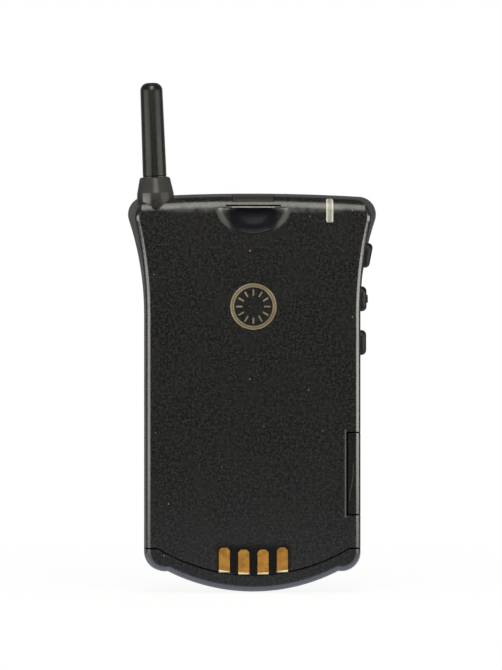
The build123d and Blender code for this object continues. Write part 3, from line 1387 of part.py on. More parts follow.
with BuildPart() as hinge_flex:
    bar(HINGE_Y, HINGE_Z, FLEX_RADIUS, FLEX_X0, FLEX_X1)
    bar(HINGE_Y, HINGE_Z, FLEX_RADIUS - FLEX_THICK, FLEX_X0 - OVER, FLEX_X1 + OVER, Mode.SUBTRACT)
    block(
        FLEX_TAIL_X,
        FLEX_TAIL_X + FLEX_WIDTH,
        BOARD_FRONT_Y + SEAT,
        HINGE_Y - FLEX_RADIUS + FLEX_THICK / 2,
        HINGE_Z - FLEX_THICK / 2,
        HINGE_Z + FLEX_THICK / 2,
    )
hinge_flex.part.label = "hinge_flex"
export_step(hinge_flex.part, "parts/hinge_flex.step")

with BuildPart() as hinge_cartridge:
    bar(HINGE_Y, HINGE_Z, CAM_RADIUS, -KNUCKLE_HALF, -CAM_INNER_END)
    bar(HINGE_Y, HINGE_Z, PIN_RADIUS + RUNNING, -KNUCKLE_END, KNUCKLE_END, Mode.SUBTRACT)
hinge_cartridge.part.label = "hinge_cartridge"
export_step(hinge_cartridge.part, "parts/hinge_cartridge.step")

# ---------------------------------------------------------------- lid
LID_POST_BACK_Y = LID_Y + LID_SKIN
SPEAKER_Y = LID_Y + LID_PLATE + SEAT
SPEAKER_POCKET = SPEAKER_Y + SPEAKER_THICK + SEAT
PAD_XS = CONTACT_XS

with BuildPart() as lid_inner_housing:
    extrude(outline(LID_SPLIT_Y, LID_INSET, LID_TOP), amount=LID_INNER)
    fillet(faces().sort_by(Axis.Y)[0].edges(), LID_EDGE)
    extrude(
        outline(LID_SPLIT_Y, LID_INSET + WALL, LID_TOP - WALL),
        amount=LID_INNER - LID_PLATE,
        mode=Mode.SUBTRACT,
    )
    for side in (-1, 1):
        for height in LID_SCREW_HEIGHTS:
            x = side * LID_SCREW_X
            disc(x, height, LID_POST_RADIUS, LID_POST_BACK_Y, LID_SPLIT_Y)
            disc(x, height, LID_SCREW_RADIUS, LID_POST_BACK_Y, LID_SPLIT_Y, Mode.SUBTRACT)
    # notch for the root of the lid's knuckle
    block(
        -KNUCKLE_HALF - FIT,
        KNUCKLE_HALF + FIT,
        LID_Y + LID_PLATE,
        LID_SPLIT_Y,
        LID_TOP - WALL - ROOT_FOOT - FIT,
        LID_TOP + OVER,
        Mode.SUBTRACT,
    )
    with BuildSketch(level(LID_SPLIT_Y)) as sound_slots:
        with Locations((0, SPEAKER_Z)):
            with GridLocations(1, SOUND_PITCH, 1, SOUND_SLOTS):
                SlotOverall(SPEAKER_RADIUS, SOUND_PITCH / 2)
    extrude(sound_slots.sketch, amount=2 * LID_INNER, mode=Mode.SUBTRACT)
lid_inner_housing.part.label = "lid_inner_housing"
export_step(lid_inner_housing.part, "parts/lid_inner_housing.step")

with BuildPart() as lid_outer_housing:
    extrude(outline(LID_OUT_Y, LID_INSET, LID_TOP), amount=LID_OUTER)
    # knuckle and its root
    bar(HINGE_Y, HINGE_Z, HINGE_RADIUS, -KNUCKLE_HALF, KNUCKLE_HALF)
    block(
        -KNUCKLE_HALF,
        KNUCKLE_HALF,
        LID_Y + LID_PLATE + SEAT,
        LID_OUT_Y,
        LID_TOP - WALL - ROOT_FOOT,
        HINGE_Z,
    )
    block(
        -KNUCKLE_HALF,
        KNUCKLE_HALF,
        LID_OUT_Y,
        BATTERY_OUT_Y - ROOT_STEP,
        LID_TOP + SLIDE_GAP,
        HINGE_Z,
    )
    bar(HINGE_Y, HINGE_Z, PIN_RADIUS + RUNNING, -KNUCKLE_END, KNUCKLE_END, Mode.SUBTRACT)
    bar(HINGE_Y, HINGE_Z, CAM_RADIUS, -KNUCKLE_END, -CAM_INNER_END, Mode.SUBTRACT)
    bar(HINGE_Y, HINGE_Z, FLEX_BORE, FLEX_X0 - SLIDE_GAP, KNUCKLE_END, Mode.SUBTRACT)
    disc(
        0,
        SPEAKER_Z,
        SPEAKER_RADIUS + SEAT,
        LID_SPLIT_Y - OVER,
        SPEAKER_POCKET,
        Mode.SUBTRACT,
    )
    for side in (-1, 1):
        for height in LID_SCREW_HEIGHTS:
            x = side * LID_SCREW_X
            disc(x, height, LID_SCREW_RADIUS + SEAT, LID_Y, LID_OUT_Y, Mode.SUBTRACT)
            disc(
                x,
                height,
                LID_HEAD_RADIUS + SEAT,
                LID_OUT_Y - LID_SCREW_HEAD - SEAT,
                LID_OUT_Y + OVER,
                Mode.SUBTRACT,
            )
    for x in PAD_XS:
        block(
            x - PAD_WIDTH / 2,
            x + PAD_WIDTH / 2,
            LID_OUT_Y - PAD_THICK,
            LID_OUT_Y + OVER,
            PAD_Z - PAD_LENGTH / 2,
            PAD_Z + PAD_LENGTH / 2,
            Mode.SUBTRACT,
        )
    # slot that takes the peg of the battery's latch
    block(
        -PEG_HALF - SLIDE_GAP,
        PEG_HALF + SLIDE_GAP,
        LID_SPLIT_Y - OVER,
        LID_OUT_Y + OVER,
        LATCH_BOTTOM - SLIDE_GAP,
        LATCH_SLOT_TOP,
        Mode.SUBTRACT,
    )
lid_outer_housing.part.label = "lid_outer_housing"
export_step(lid_outer_housing.part, "parts/lid_outer_housing.step")

with BuildPart() as earpiece_speaker:
    disc(0, SPEAKER_Z, SPEAKER_RADIUS, SPEAKER_Y, SPEAKER_Y + SPEAKER_THICK)
    fillet(edges().sort_by(Axis.Y)[0], SPEAKER_ROUND)
earpiece_speaker.part.label = "earpiece_speaker"
export_step(earpiece_speaker.part, "parts/earpiece_speaker.step")

with BuildPart() as lid_contacts:
    for x in PAD_XS:
        block(
            x - PAD_WIDTH / 2,
            x + PAD_WIDTH / 2,
            LID_OUT_Y - PAD_THICK,
            LID_OUT_Y,
            PAD_Z - PAD_LENGTH / 2,
            PAD_Z + PAD_LENGTH / 2,
        )
lid_contacts.part.label = "lid_contacts"
export_step(lid_contacts.part, "parts/lid_contacts.step")

with BuildPart() as lid_screws:
    for side in (-1, 1):
        for height in LID_SCREW_HEIGHTS:
            x = side * LID_SCREW_X
            head_y = LID_OUT_Y - SEAT - LID_SCREW_HEAD
            disc(x, height, LID_HEAD_RADIUS, head_y, LID_OUT_Y - SEAT)
            disc(x, height, LID_SCREW_RADIUS, LID_POST_BACK_Y + LID_SCREW_TIP_GAP, head_y)
lid_screws.part.label = "lid_screws"
export_step(lid_screws.part, "parts/lid_screws.step")

# ---------------------------------------------------------------- battery
with BuildPart() as battery_case:
    extrude(outline(BATTERY_SPLIT_Y, LID_INSET, LID_TOP), amount=BATTERY_CASE)
    fillet(faces().sort_by(Axis.Y)[0].edges(), BATTERY_ROUND)
    extrude(
        outline(BATTERY_SPLIT_Y, LID_INSET + BATTERY_WALL, LID_TOP - BATTERY_WALL),
        amount=BATTERY_CASE - BATTERY_SKIN,
        mode=Mode.SUBTRACT,
    )
    # rib between the cell and the latch's spring
    block(
        -CELL_HALF,
        CELL_HALF,
        BATTERY_Y + BATTERY_SKIN,
        BATTERY_SPLIT_Y,
        CELL_BOTTOM - CELL_RIB,
        CELL_BOTTOM - SEAT,
    )
    for x in PAD_XS:
        block(
            x - PAD_WIDTH / 2,
            x + PAD_WIDTH / 2,
            BATTERY_Y - OVER,
            BATTERY_Y + PAD_THICK,
            PAD_Z - PAD_LENGTH / 2,
            PAD_Z + PAD_LENGTH / 2,
            Mode.SUBTRACT,
        )
    block(
        -PEG_HALF - SLIDE_GAP,
        PEG_HALF + SLIDE_GAP,
        BATTERY_Y - OVER,
        BATTERY_Y + 2 * BATTERY_SKIN,
        LATCH_BOTTOM - SLIDE_GAP,
        LATCH_SLOT_TOP,
        Mode.SUBTRACT,
    )
battery_case.part.label = "battery_case"
export_step(battery_case.part, "parts/battery_case.step")

with BuildPart() as battery_cover:
    loft(
        [
            outline(COVER_Y, LID_INSET, LID_TOP),
            outline(BATTERY_OUT_Y, LID_INSET + BATTERY_SLOPE, LID_TOP - BATTERY_SLOPE / 2),
        ],
        ruled=True,
    )
    fillet(faces().sort_by(Axis.Y)[-1].edges(), BATTERY_EDGE)
    extrude(
        outline(
            BATTERY_OUT_Y - BATTERY_SKIN,
            LID_INSET + BATTERY_SLOPE + BATTERY_WALL,
            LID_TOP - BATTERY_SLOPE - BATTERY_WALL,
        ),
        amount=BATTERY_COVER,
        mode=Mode.SUBTRACT,
    )
    block(
        -LATCH_HALF - SLIDE_GAP,
        LATCH_HALF + SLIDE_GAP,
        BATTERY_OUT_Y - 2 * BATTERY_SKIN,
        BATTERY_OUT_Y + OVER,
        LATCH_BOTTOM - SLIDE_GAP,
        LATCH_TOP + LATCH_TRAVEL + SLIDE_GAP,
        Mode.SUBTRACT,
    )
battery_cover.part.label = "battery_cover"
export_step(battery_cover.part, "parts/battery_cover.step")

with BuildPart() as battery_cell:
    block(
        -CELL_HALF,
        CELL_HALF,
        BATTERY_Y + BATTERY_SKIN + SEAT,
        BATTERY_OUT_Y - BATTERY_SKIN - SEAT,
        CELL_BOTTOM,
        CELL_TOP,
    )
    fillet(edges().filter_by(Axis.Z), CELL_EDGE)
battery_cell.part.label = "battery_cell"
export_step(battery_cell.part, "parts/battery_cell.step")

with BuildPart() as battery_contacts:
    for x in PAD_XS:
        block(
            x - PAD_WIDTH / 2,
            x + PAD_WIDTH / 2,
            BATTERY_Y,
            BATTERY_Y + PAD_THICK,
            PAD_Z - PAD_LENGTH / 2,
            PAD_Z + PAD_LENGTH / 2,
        )
battery_contacts.part.label = "battery_contacts"
export_step(battery_contacts.part, "parts/battery_contacts.step")

with BuildPart() as battery_latch:
    # slider inside the battery
    block(
        -LATCH_HALF - SLIDER_SIDE,
        LATCH_HALF + SLIDER_SIDE,
        SLIDER_Y,
        SLIDER_Y + SLIDER_THICK,
        LATCH_BOTTOM,
        SLIDER_TOP,
    )
    # button on the outer face, with grip lines
    block(
        -LATCH_HALF,
        LATCH_HALF,
        SLIDER_Y,
        BUTTON_TOP_Y,
        LATCH_BOTTOM,
        LATCH_TOP,
    )
    fillet(edges().filter_by(Axis.Y).group_by(Axis.Y)[-1], BUTTON_ROUND)
    for line in range(GRIP_LINES):
        z = LATCH_BOTTOM + LATCH_HEIGHT * (line + 1) / (GRIP_LINES + 1)
        block(
            -LATCH_HALF + GRIP_END,
            LATCH_HALF - GRIP_END,
            BUTTON_TOP_Y - GRIP_DEPTH,
            BUTTON_TOP_Y + OVER,
            z - GRIP_HALF,
            z + GRIP_HALF,
            Mode.SUBTRACT,
        )
    # peg that reaches into the lid
    block(
        -PEG_HALF,
        PEG_HALF,
        LID_OUT_Y - LID_OUTER / 2,
        SLIDER_Y,
        LATCH_BOTTOM,
        LATCH_BOTTOM + PEG_HEIGHT,
    )
battery_latch.part.label = "battery_latch"
export_step(battery_latch.part, "parts/battery_latch.step")

with BuildPart() as latch_spring:
    with BuildLine() as coil:
        Helix(
            SPRING_PITCH,
            SPRING_LENGTH - 2 * SPRING_WIRE - 2 * SEAT,
            SPRING_RADIUS,
            center=(0, SPRING_Y, SLIDER_TOP + SPRING_WIRE + SEAT),
        )
    with BuildSketch(Plane(coil.line @ 0, z_dir=coil.line % 0)):
        Circle(SPRING_WIRE)
    sweep(path=coil.line, is_frenet=True)
latch_spring.part.label = "latch_spring"
export_step(latch_spring.part, "parts/latch_spring.step")
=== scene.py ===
"""Looks of a compact flip phone, closed, antenna up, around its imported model. Metres."""
import json
import math

import bmesh
import bpy
from mathutils import Matrix, Vector


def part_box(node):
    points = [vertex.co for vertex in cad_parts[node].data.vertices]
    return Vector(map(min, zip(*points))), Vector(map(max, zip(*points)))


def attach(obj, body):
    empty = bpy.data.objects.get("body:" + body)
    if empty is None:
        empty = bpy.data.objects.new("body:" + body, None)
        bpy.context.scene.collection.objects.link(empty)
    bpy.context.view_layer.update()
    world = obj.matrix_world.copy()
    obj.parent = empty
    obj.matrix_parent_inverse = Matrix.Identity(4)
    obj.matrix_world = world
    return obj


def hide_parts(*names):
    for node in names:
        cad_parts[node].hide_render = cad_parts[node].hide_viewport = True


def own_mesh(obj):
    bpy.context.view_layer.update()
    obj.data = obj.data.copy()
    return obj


MM = 0.001

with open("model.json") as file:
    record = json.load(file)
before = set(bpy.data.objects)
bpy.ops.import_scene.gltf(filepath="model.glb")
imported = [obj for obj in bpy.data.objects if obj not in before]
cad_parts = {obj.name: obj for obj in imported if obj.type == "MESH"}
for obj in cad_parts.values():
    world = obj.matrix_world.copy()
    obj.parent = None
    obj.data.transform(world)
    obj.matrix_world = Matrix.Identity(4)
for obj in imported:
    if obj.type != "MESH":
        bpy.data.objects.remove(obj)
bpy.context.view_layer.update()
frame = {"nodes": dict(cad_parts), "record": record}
nodes = frame["nodes"]
home = {node: body for body, members in frame["record"]["behaviour"]["bodies"].items() for node in members}

# ---------------------------------------------------------------- sizes of the solids that looks follow
CHIN_RADIUS = 43.33 * MM      # arc of the chin's edge, its middle this far above z = 0
SEAM_CENTRE = 4.0 * MM        # height of the end cap's seam in the middle
SEAM_RADIUS = CHIN_RADIUS
SEAM_HALF = 22.5 * MM         # the seam runs level beyond this
SEAM_GAP = 0.25 * MM
DOOR_X = 22.0 * MM            # inner edge of the opening for the card tray's door
DOOR_MIDDLE = 28.0 * MM
DOOR_HALF = 9.8 * MM
DOOR_GAP = 0.25 * MM
SCOOP_HALF = 7.6 * MM
SCOOP_TOP = 90.5 * MM
SCOOP_DROP = 5.5 * MM


def middle_and_half(node):
    """Middle of a solid's box, and half its size."""
    low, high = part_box(node)
    return (low + high) / 2, (high - low) / 2


# ---------------------------------------------------------------- camera
PICTURE_WIDTH = 502           # pixels
PICTURE_HEIGHT = 670
PIXELS_PER_METRE = 4243
MIDDLE_COLUMN = 252.7         # pixel column of x = 0
FOOT_ROW = 592.0              # pixel row of z = 0
CAMERA_DISTANCE = 1.5
CAMERA_TURN = math.radians(-2.0)
SENSOR = 36.0
TARGET_DEPTH = -5 * MM        # the plane that the scale is taken in

view_height = PICTURE_HEIGHT / PIXELS_PER_METRE
view_middle = Vector((
    (PICTURE_WIDTH / 2 - MIDDLE_COLUMN) / PIXELS_PER_METRE,
    TARGET_DEPTH,
    (FOOT_ROW - PICTURE_HEIGHT / 2) / PIXELS_PER_METRE,
))
camera_data = bpy.data.cameras.new("camera")
camera_data.sensor_width = SENSOR
camera_data.lens = SENSOR * CAMERA_DISTANCE / view_height
camera = bpy.data.objects.new("camera", camera_data)
camera.location = view_middle + CAMERA_DISTANCE * Vector((math.sin(CAMERA_TURN), -math.cos(CAMERA_TURN), 0))
camera.rotation_euler = (math.pi / 2, 0, CAMERA_TURN)
bpy.context.scene.collection.objects.link(camera)
bpy.context.scene.camera = camera
bpy.context.scene.view_settings.view_transform = "Standard"


# ---------------------------------------------------------------- shader maths
class Wire:
    """A socket of a node tree that takes part in arithmetic on values."""

    def __init__(self, finish, socket):
        self.finish, self.socket = finish, socket

    def _maths(self, operation, first, second=0.0):
        return self.finish.node("ShaderNodeMath", {"operation": operation}, {0: first, 1: second})

    def __add__(self, other):
        return self._maths("ADD", self, other)

    def __sub__(self, other):
        return self._maths("SUBTRACT", self, other)

    def __rsub__(self, other):
        return self._maths("SUBTRACT", other, self)

    def __mul__(self, other):
        return self._maths("MULTIPLY", self, other)

    def __truediv__(self, other):
        return self._maths("DIVIDE", self, other)

    def __pow__(self, other):
        return self._maths("POWER", self, other)

    def __abs__(self):
        return self._maths("ABSOLUTE", self)

    def sine(self):
        return self._maths("SINE", self)

    def least(self, other):
        return self._maths("MINIMUM", self, other)

    def most(self, other):
        return self._maths("MAXIMUM", self, other)

    __radd__ = __add__
    __rmul__ = __mul__


class Finish:
    """A node tree under construction: of a material, or of the world."""

    def __init__(self, owner):
        owner.use_nodes = True
        self.owner, self.tree = owner, owner.node_tree
        self.tree.nodes.clear()

    def node(self, kind, settings=None, sockets=None, output=0):
        """A node of any type: its settings, then the values and links of its sockets."""
        made = self.tree.nodes.new(kind)
        for name, value in (settings or {}).items():
            setattr(made, name, value)
        for name, value in (sockets or {}).items():
            socket = made.inputs[name]
            if isinstance(value, Wire):
                self.tree.links.new(value.socket, socket)
            else:
                socket.default_value = value
        return Wire(self, made.outputs[output]) if made.outputs else None

    def place(self):
        """Coordinates that stay on the piece, in metres."""
        return self.node("ShaderNodeTexCoord", output="Object")

    def stretched(self, scale, turn=(0, 0, 0)):
        """The piece's coordinates, scaled and turned, for grain that has a direction."""
        return self.node(
            "ShaderNodeMapping",
            sockets={"Vector": self.place(), "Scale": scale, "Rotation": turn},
        )

    def axes(self, where=None):
        """The three coordinates as values."""
        where = where or self.place()
        return [self.node("ShaderNodeSeparateXYZ", sockets={0: where}, output=axis) for axis in "XYZ"]

    def noise(self, scale, detail=3.0, rough=0.6, where=None):
        return self.node(
            "ShaderNodeTexNoise",
            sockets={"Vector": where or self.place(), "Scale": scale, "Detail": detail, "Roughness": rough},
        )

    def between(self, value, low, high, start=0.0, end=1.0):
        """Smooth step of a value from start to end, as it goes from low to high."""
        return self.node(
            "ShaderNodeMapRange",
            {"interpolation_type": "SMOOTHSTEP"},
            {"Value": value, "From Min": low, "From Max": high, "To Min": start, "To Max": end},
        )

    def tint(self, share, first, second):
        """Colour between two colours."""
        return self.node("ShaderNodeMix", {"data_type": "RGBA"}, {0: share, 6: first, 7: second}, 2)

    def relief(self, height, depth):
        """Normal of a surface with fine relief, of a depth in metres."""
        return self.node("ShaderNodeBump", sockets={"Height": height, "Distance": depth, "Strength": 1.0})

    def seen(self):
        """Whether the camera looks here, and whether it does or a mirroring or clear piece shows it."""
        rays = ("Is Camera Ray", "Is Glossy Ray", "Is Transmission Ray")
        direct, mirrored, through = (self.node("ShaderNodeLightPath", output=ray) for ray in rays)
        return direct, (direct + mirrored + through).least(1.0)

    def above_seam(self):
        """Height above the end cap's seam."""
        x, y, z = self.axes()
        across = abs(x).least(SEAM_HALF)
        return z - (SEAM_CENTRE + SEAM_RADIUS) + (SEAM_RADIUS**2 - across * across) ** 0.5

    def outside_door(self):
        """Distance outside the opening of the card tray's door, less than zero inside it."""
        x, y, z = self.axes()
        return (DOOR_X - x).most(abs(z - DOOR_MIDDLE) - DOOR_HALF)

    def surface(self, **sockets):
        """Ends the tree in a surface, with its sockets given by name."""
        shader = self.node("ShaderNodeBsdfPrincipled", sockets=spaced(sockets))
        self.node("ShaderNodeOutputMaterial", sockets={"Surface": shader})
        return self.owner

    def dulled(self, shiny, colour, dull=0.0):
        """Ends the tree in a textured surface, whose shine fades at a glancing angle and where it is dull."""
        matt = self.node(
            "ShaderNodeBsdfPrincipled",
            sockets={"Base Color": colour, "Roughness": 0.7, "Specular IOR Level": 0.1},
        )
        glance = self.node("ShaderNodeLayerWeight", sockets={"Blend": 0.5}, output="Facing")
        share = self.between(glance, 0.55, 0.9, 0.0, 0.85).most(dull)
        mixed = self.node("ShaderNodeMixShader", sockets={0: share, 1: shiny, 2: matt})
        self.node("ShaderNodeOutputMaterial", sockets={"Surface": mixed})
        return self.owner


def spaced(sockets):
    """Names of sockets as the shader has them."""
    return {name.replace("_", " "): value for name, value in sockets.items()}


def rgb(red, green, blue):
    return (red, green, blue, 1.0)


def new_finish(name):
    return Finish(bpy.data.materials.new(name))


# ---------------------------------------------------------------- moulded plastic
SPARKS = 2100.0               # cells per metre
MOTTLES = 1300.0
CLOUDS = 90.0
SPECKS = 260.0
HAIRLINES_UP = ((2200.0, 2200.0, 60.0), (0.0, 0.5, 0.0))      # cells per metre along each axis, and turn
HAIRLINES_ACROSS = ((70.0, 2600.0, 2600.0), (0.0, 0.3, 0.0))
SCRATCHED = rgb(0.09, 0.09, 0.085)
DUSTY = rgb(0.3, 0.29, 0.26)
# painted shade, for the gaps and the contacts' well
PAINTED_SHADE = rgb(0.0006, 0.0006, 0.0006)


def hairlines(finish, cloud):
    """Two families of fine scratches, gathered in patches."""
    up = finish.noise(1.0, 1.0, 0.5, finish.stretched(*HAIRLINES_UP))
    across = finish.noise(1.0, 1.0, 0.5, finish.stretched(*HAIRLINES_ACROSS))
    scratches = finish.between(up, 0.74, 0.80) + finish.between(across, 0.76, 0.82)
    return scratches * finish.between(cloud, 0.45, 0.62)


def polished_edge(finish):
    """The rounds from the flat faces to the sides and the foot, which hands polish."""
    across, ahead, up = finish.axes(finish.node("ShaderNodeNewGeometry", output="Normal"))
    edge = finish.between(abs(ahead), 0.3, 0.5) * finish.between(abs(ahead), 0.999, 0.985)
    return edge * finish.between(abs(across).most(up * -1.0), 0.08, 0.25)


def moulded(
    name, colour, pale, rough,
    grain=SPARKS, relief=12e-6, level=0.5, dusty=1.0, rubbed=1.0, marks=None, **sockets,
):
    """Satin plastic from a spark-eroded mould: grain, hand marks, dust, scratches, rubbed edges."""
    finish = new_finish(name)
    spark = finish.noise(grain, rough=0.65)
    mottle = finish.noise(MOTTLES, rough=0.65)
    cloud = finish.noise(CLOUDS)
    where = finish.place()
    seeds = finish.node("ShaderNodeTexVoronoi", {"feature": "F1"}, {"Vector": where, "Scale": SPECKS})
    dust = finish.between(seeds, 0.045, 0.02) * dusty
    scratches = hairlines(finish, cloud)
    shade = finish.between(spark, 0.47, 0.58) * 0.55 + finish.between(mottle, 0.46, 0.58) * 0.4
    plastic = finish.tint(shade + finish.between(cloud, 0.35, 0.7) * 0.1, colour, pale)
    marked = finish.tint(scratches * 0.2, plastic, SCRATCHED)
    wear_and_painted_light = finish.tint(dust * 0.8, marked, DUSTY)
    dull = 0.0
    # the marks add painted shade, highlights and reflections to this colour
    if marks:
        wear_and_painted_light, dull = marks(finish, wear_and_painted_light)
    shiny = finish.node("ShaderNodeBsdfPrincipled", sockets={
        "Base Color": wear_and_painted_light,
        "Roughness": finish.between(cloud, 0.25, 0.8, rough + 0.04, rough - 0.05) + dust * 0.3,
        "Specular IOR Level": level,
        "Coat Weight": polished_edge(finish) * rubbed if rubbed else 0.0,
        "Coat Roughness": 0.14,
        "Coat IOR": 1.7,
        "Normal": finish.relief(spark + scratches * 0.4, relief),
        **spaced(sockets),
    })
    return finish.dulled(shiny, wear_and_painted_light, dull)


# ---------------------------------------------------------------- painted shade and highlights, and wear, on housing, end cap and door
# A pair says where a mark sets in and where it is full.
BACK_Y = (-5.0 * MM, -6.0 * MM)         # for marks that stay on the back's face
SCOOP_Z = (SCOOP_TOP, SCOOP_TOP - 0.1 * MM)       # and for those below the slot
RIM_HIGHLIGHT_X = (4.2 * MM, 5.6 * MM)            # painted highlight on the scoop's rim, on both sides
BOWL_SHADE_X = (6.6 * MM, 5.0 * MM)           # painted shade, dark in the middle of the scoop
LIP_RISE = 0.14 * MM                    # painted highlight on the lip of the slot, above the scoop's top
LIP_Z = (0.18 * MM, 0.1 * MM)
LIP_X = (5.2 * MM, 4.8 * MM)
DOOR_HIGHLIGHT_MIDDLE = 0.38 * MM             # painted highlight on the rounded edge outside the door's opening
DOOR_HIGHLIGHT = (0.2 * MM, 0.06 * MM)
DOOR_HIGHLIGHT_X = (DOOR_X, DOOR_X - 0.2 * MM)
WELL_X = (9.2 * MM, 8.0 * MM)           # painted shade around the contacts
WELL_Z = (12.2 * MM, 10.2 * MM)
COLLAR_X = (-17.0 * MM, -19.0 * MM)     # painted paler sheen on the antenna's collar
COLLAR_Z = (91.5 * MM, 94.0 * MM)
SHEEN_LOW = (88.9 * MM, 90.3 * MM)      # painted highlight: a pale band under the round of the top edge
SHEEN_HIGH = (91.3 * MM, 90.5 * MM)
SHEEN_MIDDLE = 14.8 * MM                # it lies on both sides of the scoop
SHEEN_X = (7.2 * MM, 5.6 * MM)
UNDERSIDE = (-0.1, -0.35)               # how far a surface faces down, for the painted reflection on the cap's underside
SCRATCH_Z = (21.5 * MM, 28.5 * MM)      # the scratch on the door winds from the first x to the second
SCRATCH_X = (22.6 * MM, 23.5 * MM)
SCRATCH_WIDTH = (0.13 * MM, 0.04 * MM)
SCRATCH_MIDDLE = 26.0 * MM
SCRATCH_REACH = (4.6 * MM, 4.0 * MM)

# painted paler sheen on the collar
PAINTED_COLLAR_SHEEN = rgb(0.042, 0.042, 0.036)
# painted highlight band under the top edge
PAINTED_SHEEN = rgb(0.07, 0.07, 0.065)
# painted highlight on rounded edges
PAINTED_EDGE_HIGHLIGHT = rgb(0.11, 0.11, 0.1)
# painted shade in the scoop
PAINTED_BOWL_SHADE = rgb(0.002, 0.003, 0.0065)
# painted highlight on the slot's lip
PAINTED_LIP_HIGHLIGHT = rgb(0.2, 0.195, 0.17)
# painted reflection on the cap's underside
PAINTED_UNDERSIDE_REFLECTION = rgb(0.03, 0.038, 0.062)
SCRATCH = rgb(0.06, 0.06, 0.05)


def seam_shade(finish):
    """Painted shade in the gap above the end cap."""
    return finish.between(abs(finish.above_seam() - SEAM_GAP / 2), SEAM_GAP, SEAM_GAP / 2)


def door_gap_shade(finish):
    """Painted shade in the gap around the card tray's door."""
    return finish.between(abs(finish.outside_door() + DOOR_GAP / 2), DOOR_GAP, DOOR_GAP / 2)


def housing_marks(finish, plastic):
    """Painted shade in gaps, well and scoop; painted highlights on scoop rim, slot lip, door edge, top band
    and collar.
    """
    x, y, z = finish.axes()
    back = finish.between(y, *BACK_Y)
    along = (z - SCOOP_TOP) * (1 / SCOOP_DROP)
    wide = x * (1 / SCOOP_HALF)
    out = wide * wide + along * along
    below = finish.between(z, *SCOOP_Z)
    # painted highlight where the scoop's rim rounds into it
    rim = finish.between(abs(out - 1.12), 0.3, 0.1) * below * finish.between(abs(x), *RIM_HIGHLIGHT_X) * back
    bowl_shade = finish.between(out, 1.5, 1.05) * below * back * finish.between(abs(x), *BOWL_SHADE_X)
    # painted highlight on the slot's lip
    lip = finish.between(abs(z - SCOOP_TOP - LIP_RISE), *LIP_Z) * finish.between(abs(x), *LIP_X) * back
    door_edge_highlight = finish.between(abs(finish.outside_door() - DOOR_HIGHLIGHT_MIDDLE), *DOOR_HIGHLIGHT)
    door_edge_highlight = door_edge_highlight * finish.between(x, *DOOR_HIGHLIGHT_X)
    gap_shade = seam_shade(finish).most(door_gap_shade(finish))
    well = finish.between(abs(x), *WELL_X) * finish.between(z, *WELL_Z) * 0.75
    well = well * finish.between(finish.above_seam(), 0.0, SEAM_GAP)
    collar_sheen = finish.between(z, *COLLAR_Z) * finish.between(x, *COLLAR_X)
    painted_sheen = finish.between(z, *SHEEN_LOW) * finish.between(z, *SHEEN_HIGH) * back
    painted_sheen = painted_sheen * finish.between(abs(abs(x) - SHEEN_MIDDLE), *SHEEN_X)
    painted_sheen = painted_sheen * finish.between(finish.noise(500.0), 0.25, 0.6)
    # painted paler sheen on the collar
    look = finish.tint(collar_sheen * 0.7, plastic, PAINTED_COLLAR_SHEEN)
    # painted highlight band under the top edge
    look = finish.tint(painted_sheen * 0.8, look, PAINTED_SHEEN)
    # painted highlights on the door's edge and the scoop's rim
    look = finish.tint((door_edge_highlight * 0.75).most(rim * 0.5), look, PAINTED_EDGE_HIGHLIGHT)
    # painted shade in the scoop
    look = finish.tint(bowl_shade * 0.85, look, PAINTED_BOWL_SHADE)
    # painted highlight on the slot's lip
    look = finish.tint(lip * 0.9, look, PAINTED_LIP_HIGHLIGHT)
    # painted shade in the gaps and around the contacts
    look = finish.tint(gap_shade.most(well), look, PAINTED_SHADE)
    return look, gap_shade.most(bowl_shade * 0.9).most(collar_sheen * 0.5).most(well)


def cap_marks(finish, plastic):
    """Painted shade in the gap above the end cap, and a painted slate-blue reflection on its underside."""
    gap_shade = seam_shade(finish)
    up = finish.axes(finish.node("ShaderNodeNewGeometry", output="Normal"))[2]
    # painted slate-blue reflection on faces turned down
    underside_reflection = finish.tint(finish.between(up, *UNDERSIDE), plastic, PAINTED_UNDERSIDE_REFLECTION)
    return finish.tint(gap_shade, underside_reflection, PAINTED_SHADE), gap_shade


def door_marks(finish, plastic):
    """Painted shade in the gap around the tray's door, and a pale winding scratch along it."""
    x, y, z = finish.axes()
    gap_shade = door_gap_shade(finish)
    bend = finish.between(z, *SCRATCH_Z, *SCRATCH_X)
    scratch = finish.between(abs(x - bend), *SCRATCH_WIDTH)
    scratch = scratch * finish.between(abs(z - SCRATCH_MIDDLE), *SCRATCH_REACH)
    return finish.tint(gap_shade, finish.tint(scratch * 0.6, plastic, SCRATCH), PAINTED_SHADE), gap_shade


# ---------------------------------------------------------------- other finishes
SPREAD = (0.3, 0.7)           # most values of a noise lie between these


def plain_surface(
    name, dark, light, rough,
    metal=0.0, grain=1500.0, relief=6e-6, level=0.5, stretch=None, **sockets,
):
    """A finish whose colour, gloss and relief follow one grain, plain or stretched along an axis."""
    finish = new_finish(name)
    where = finish.stretched(stretch) if stretch else None
    fine = finish.noise(grain, where=where)
    cloud = finish.noise(140.0, 2.0, 0.5)
    shade = finish.between(fine, *SPREAD) * 0.6 + finish.between(cloud, *SPREAD) * 0.4
    return finish.surface(
        Base_Color=finish.tint(shade, dark, light),
        Roughness=finish.between(fine, *SPREAD, rough - 0.05, rough + 0.06),
        Metallic=metal,
        Specular_IOR_Level=level,
        Normal=finish.relief(fine, relief),
        **sockets,
    )


def drawn_metal(name, dark, light, rough, stretch, relief=5e-6):
    """Bright metal with the lines of rolling or turning, in cells per metre along each axis."""
    return plain_surface(name, dark, light, rough, 1.0, 1.0, relief, stretch=stretch)


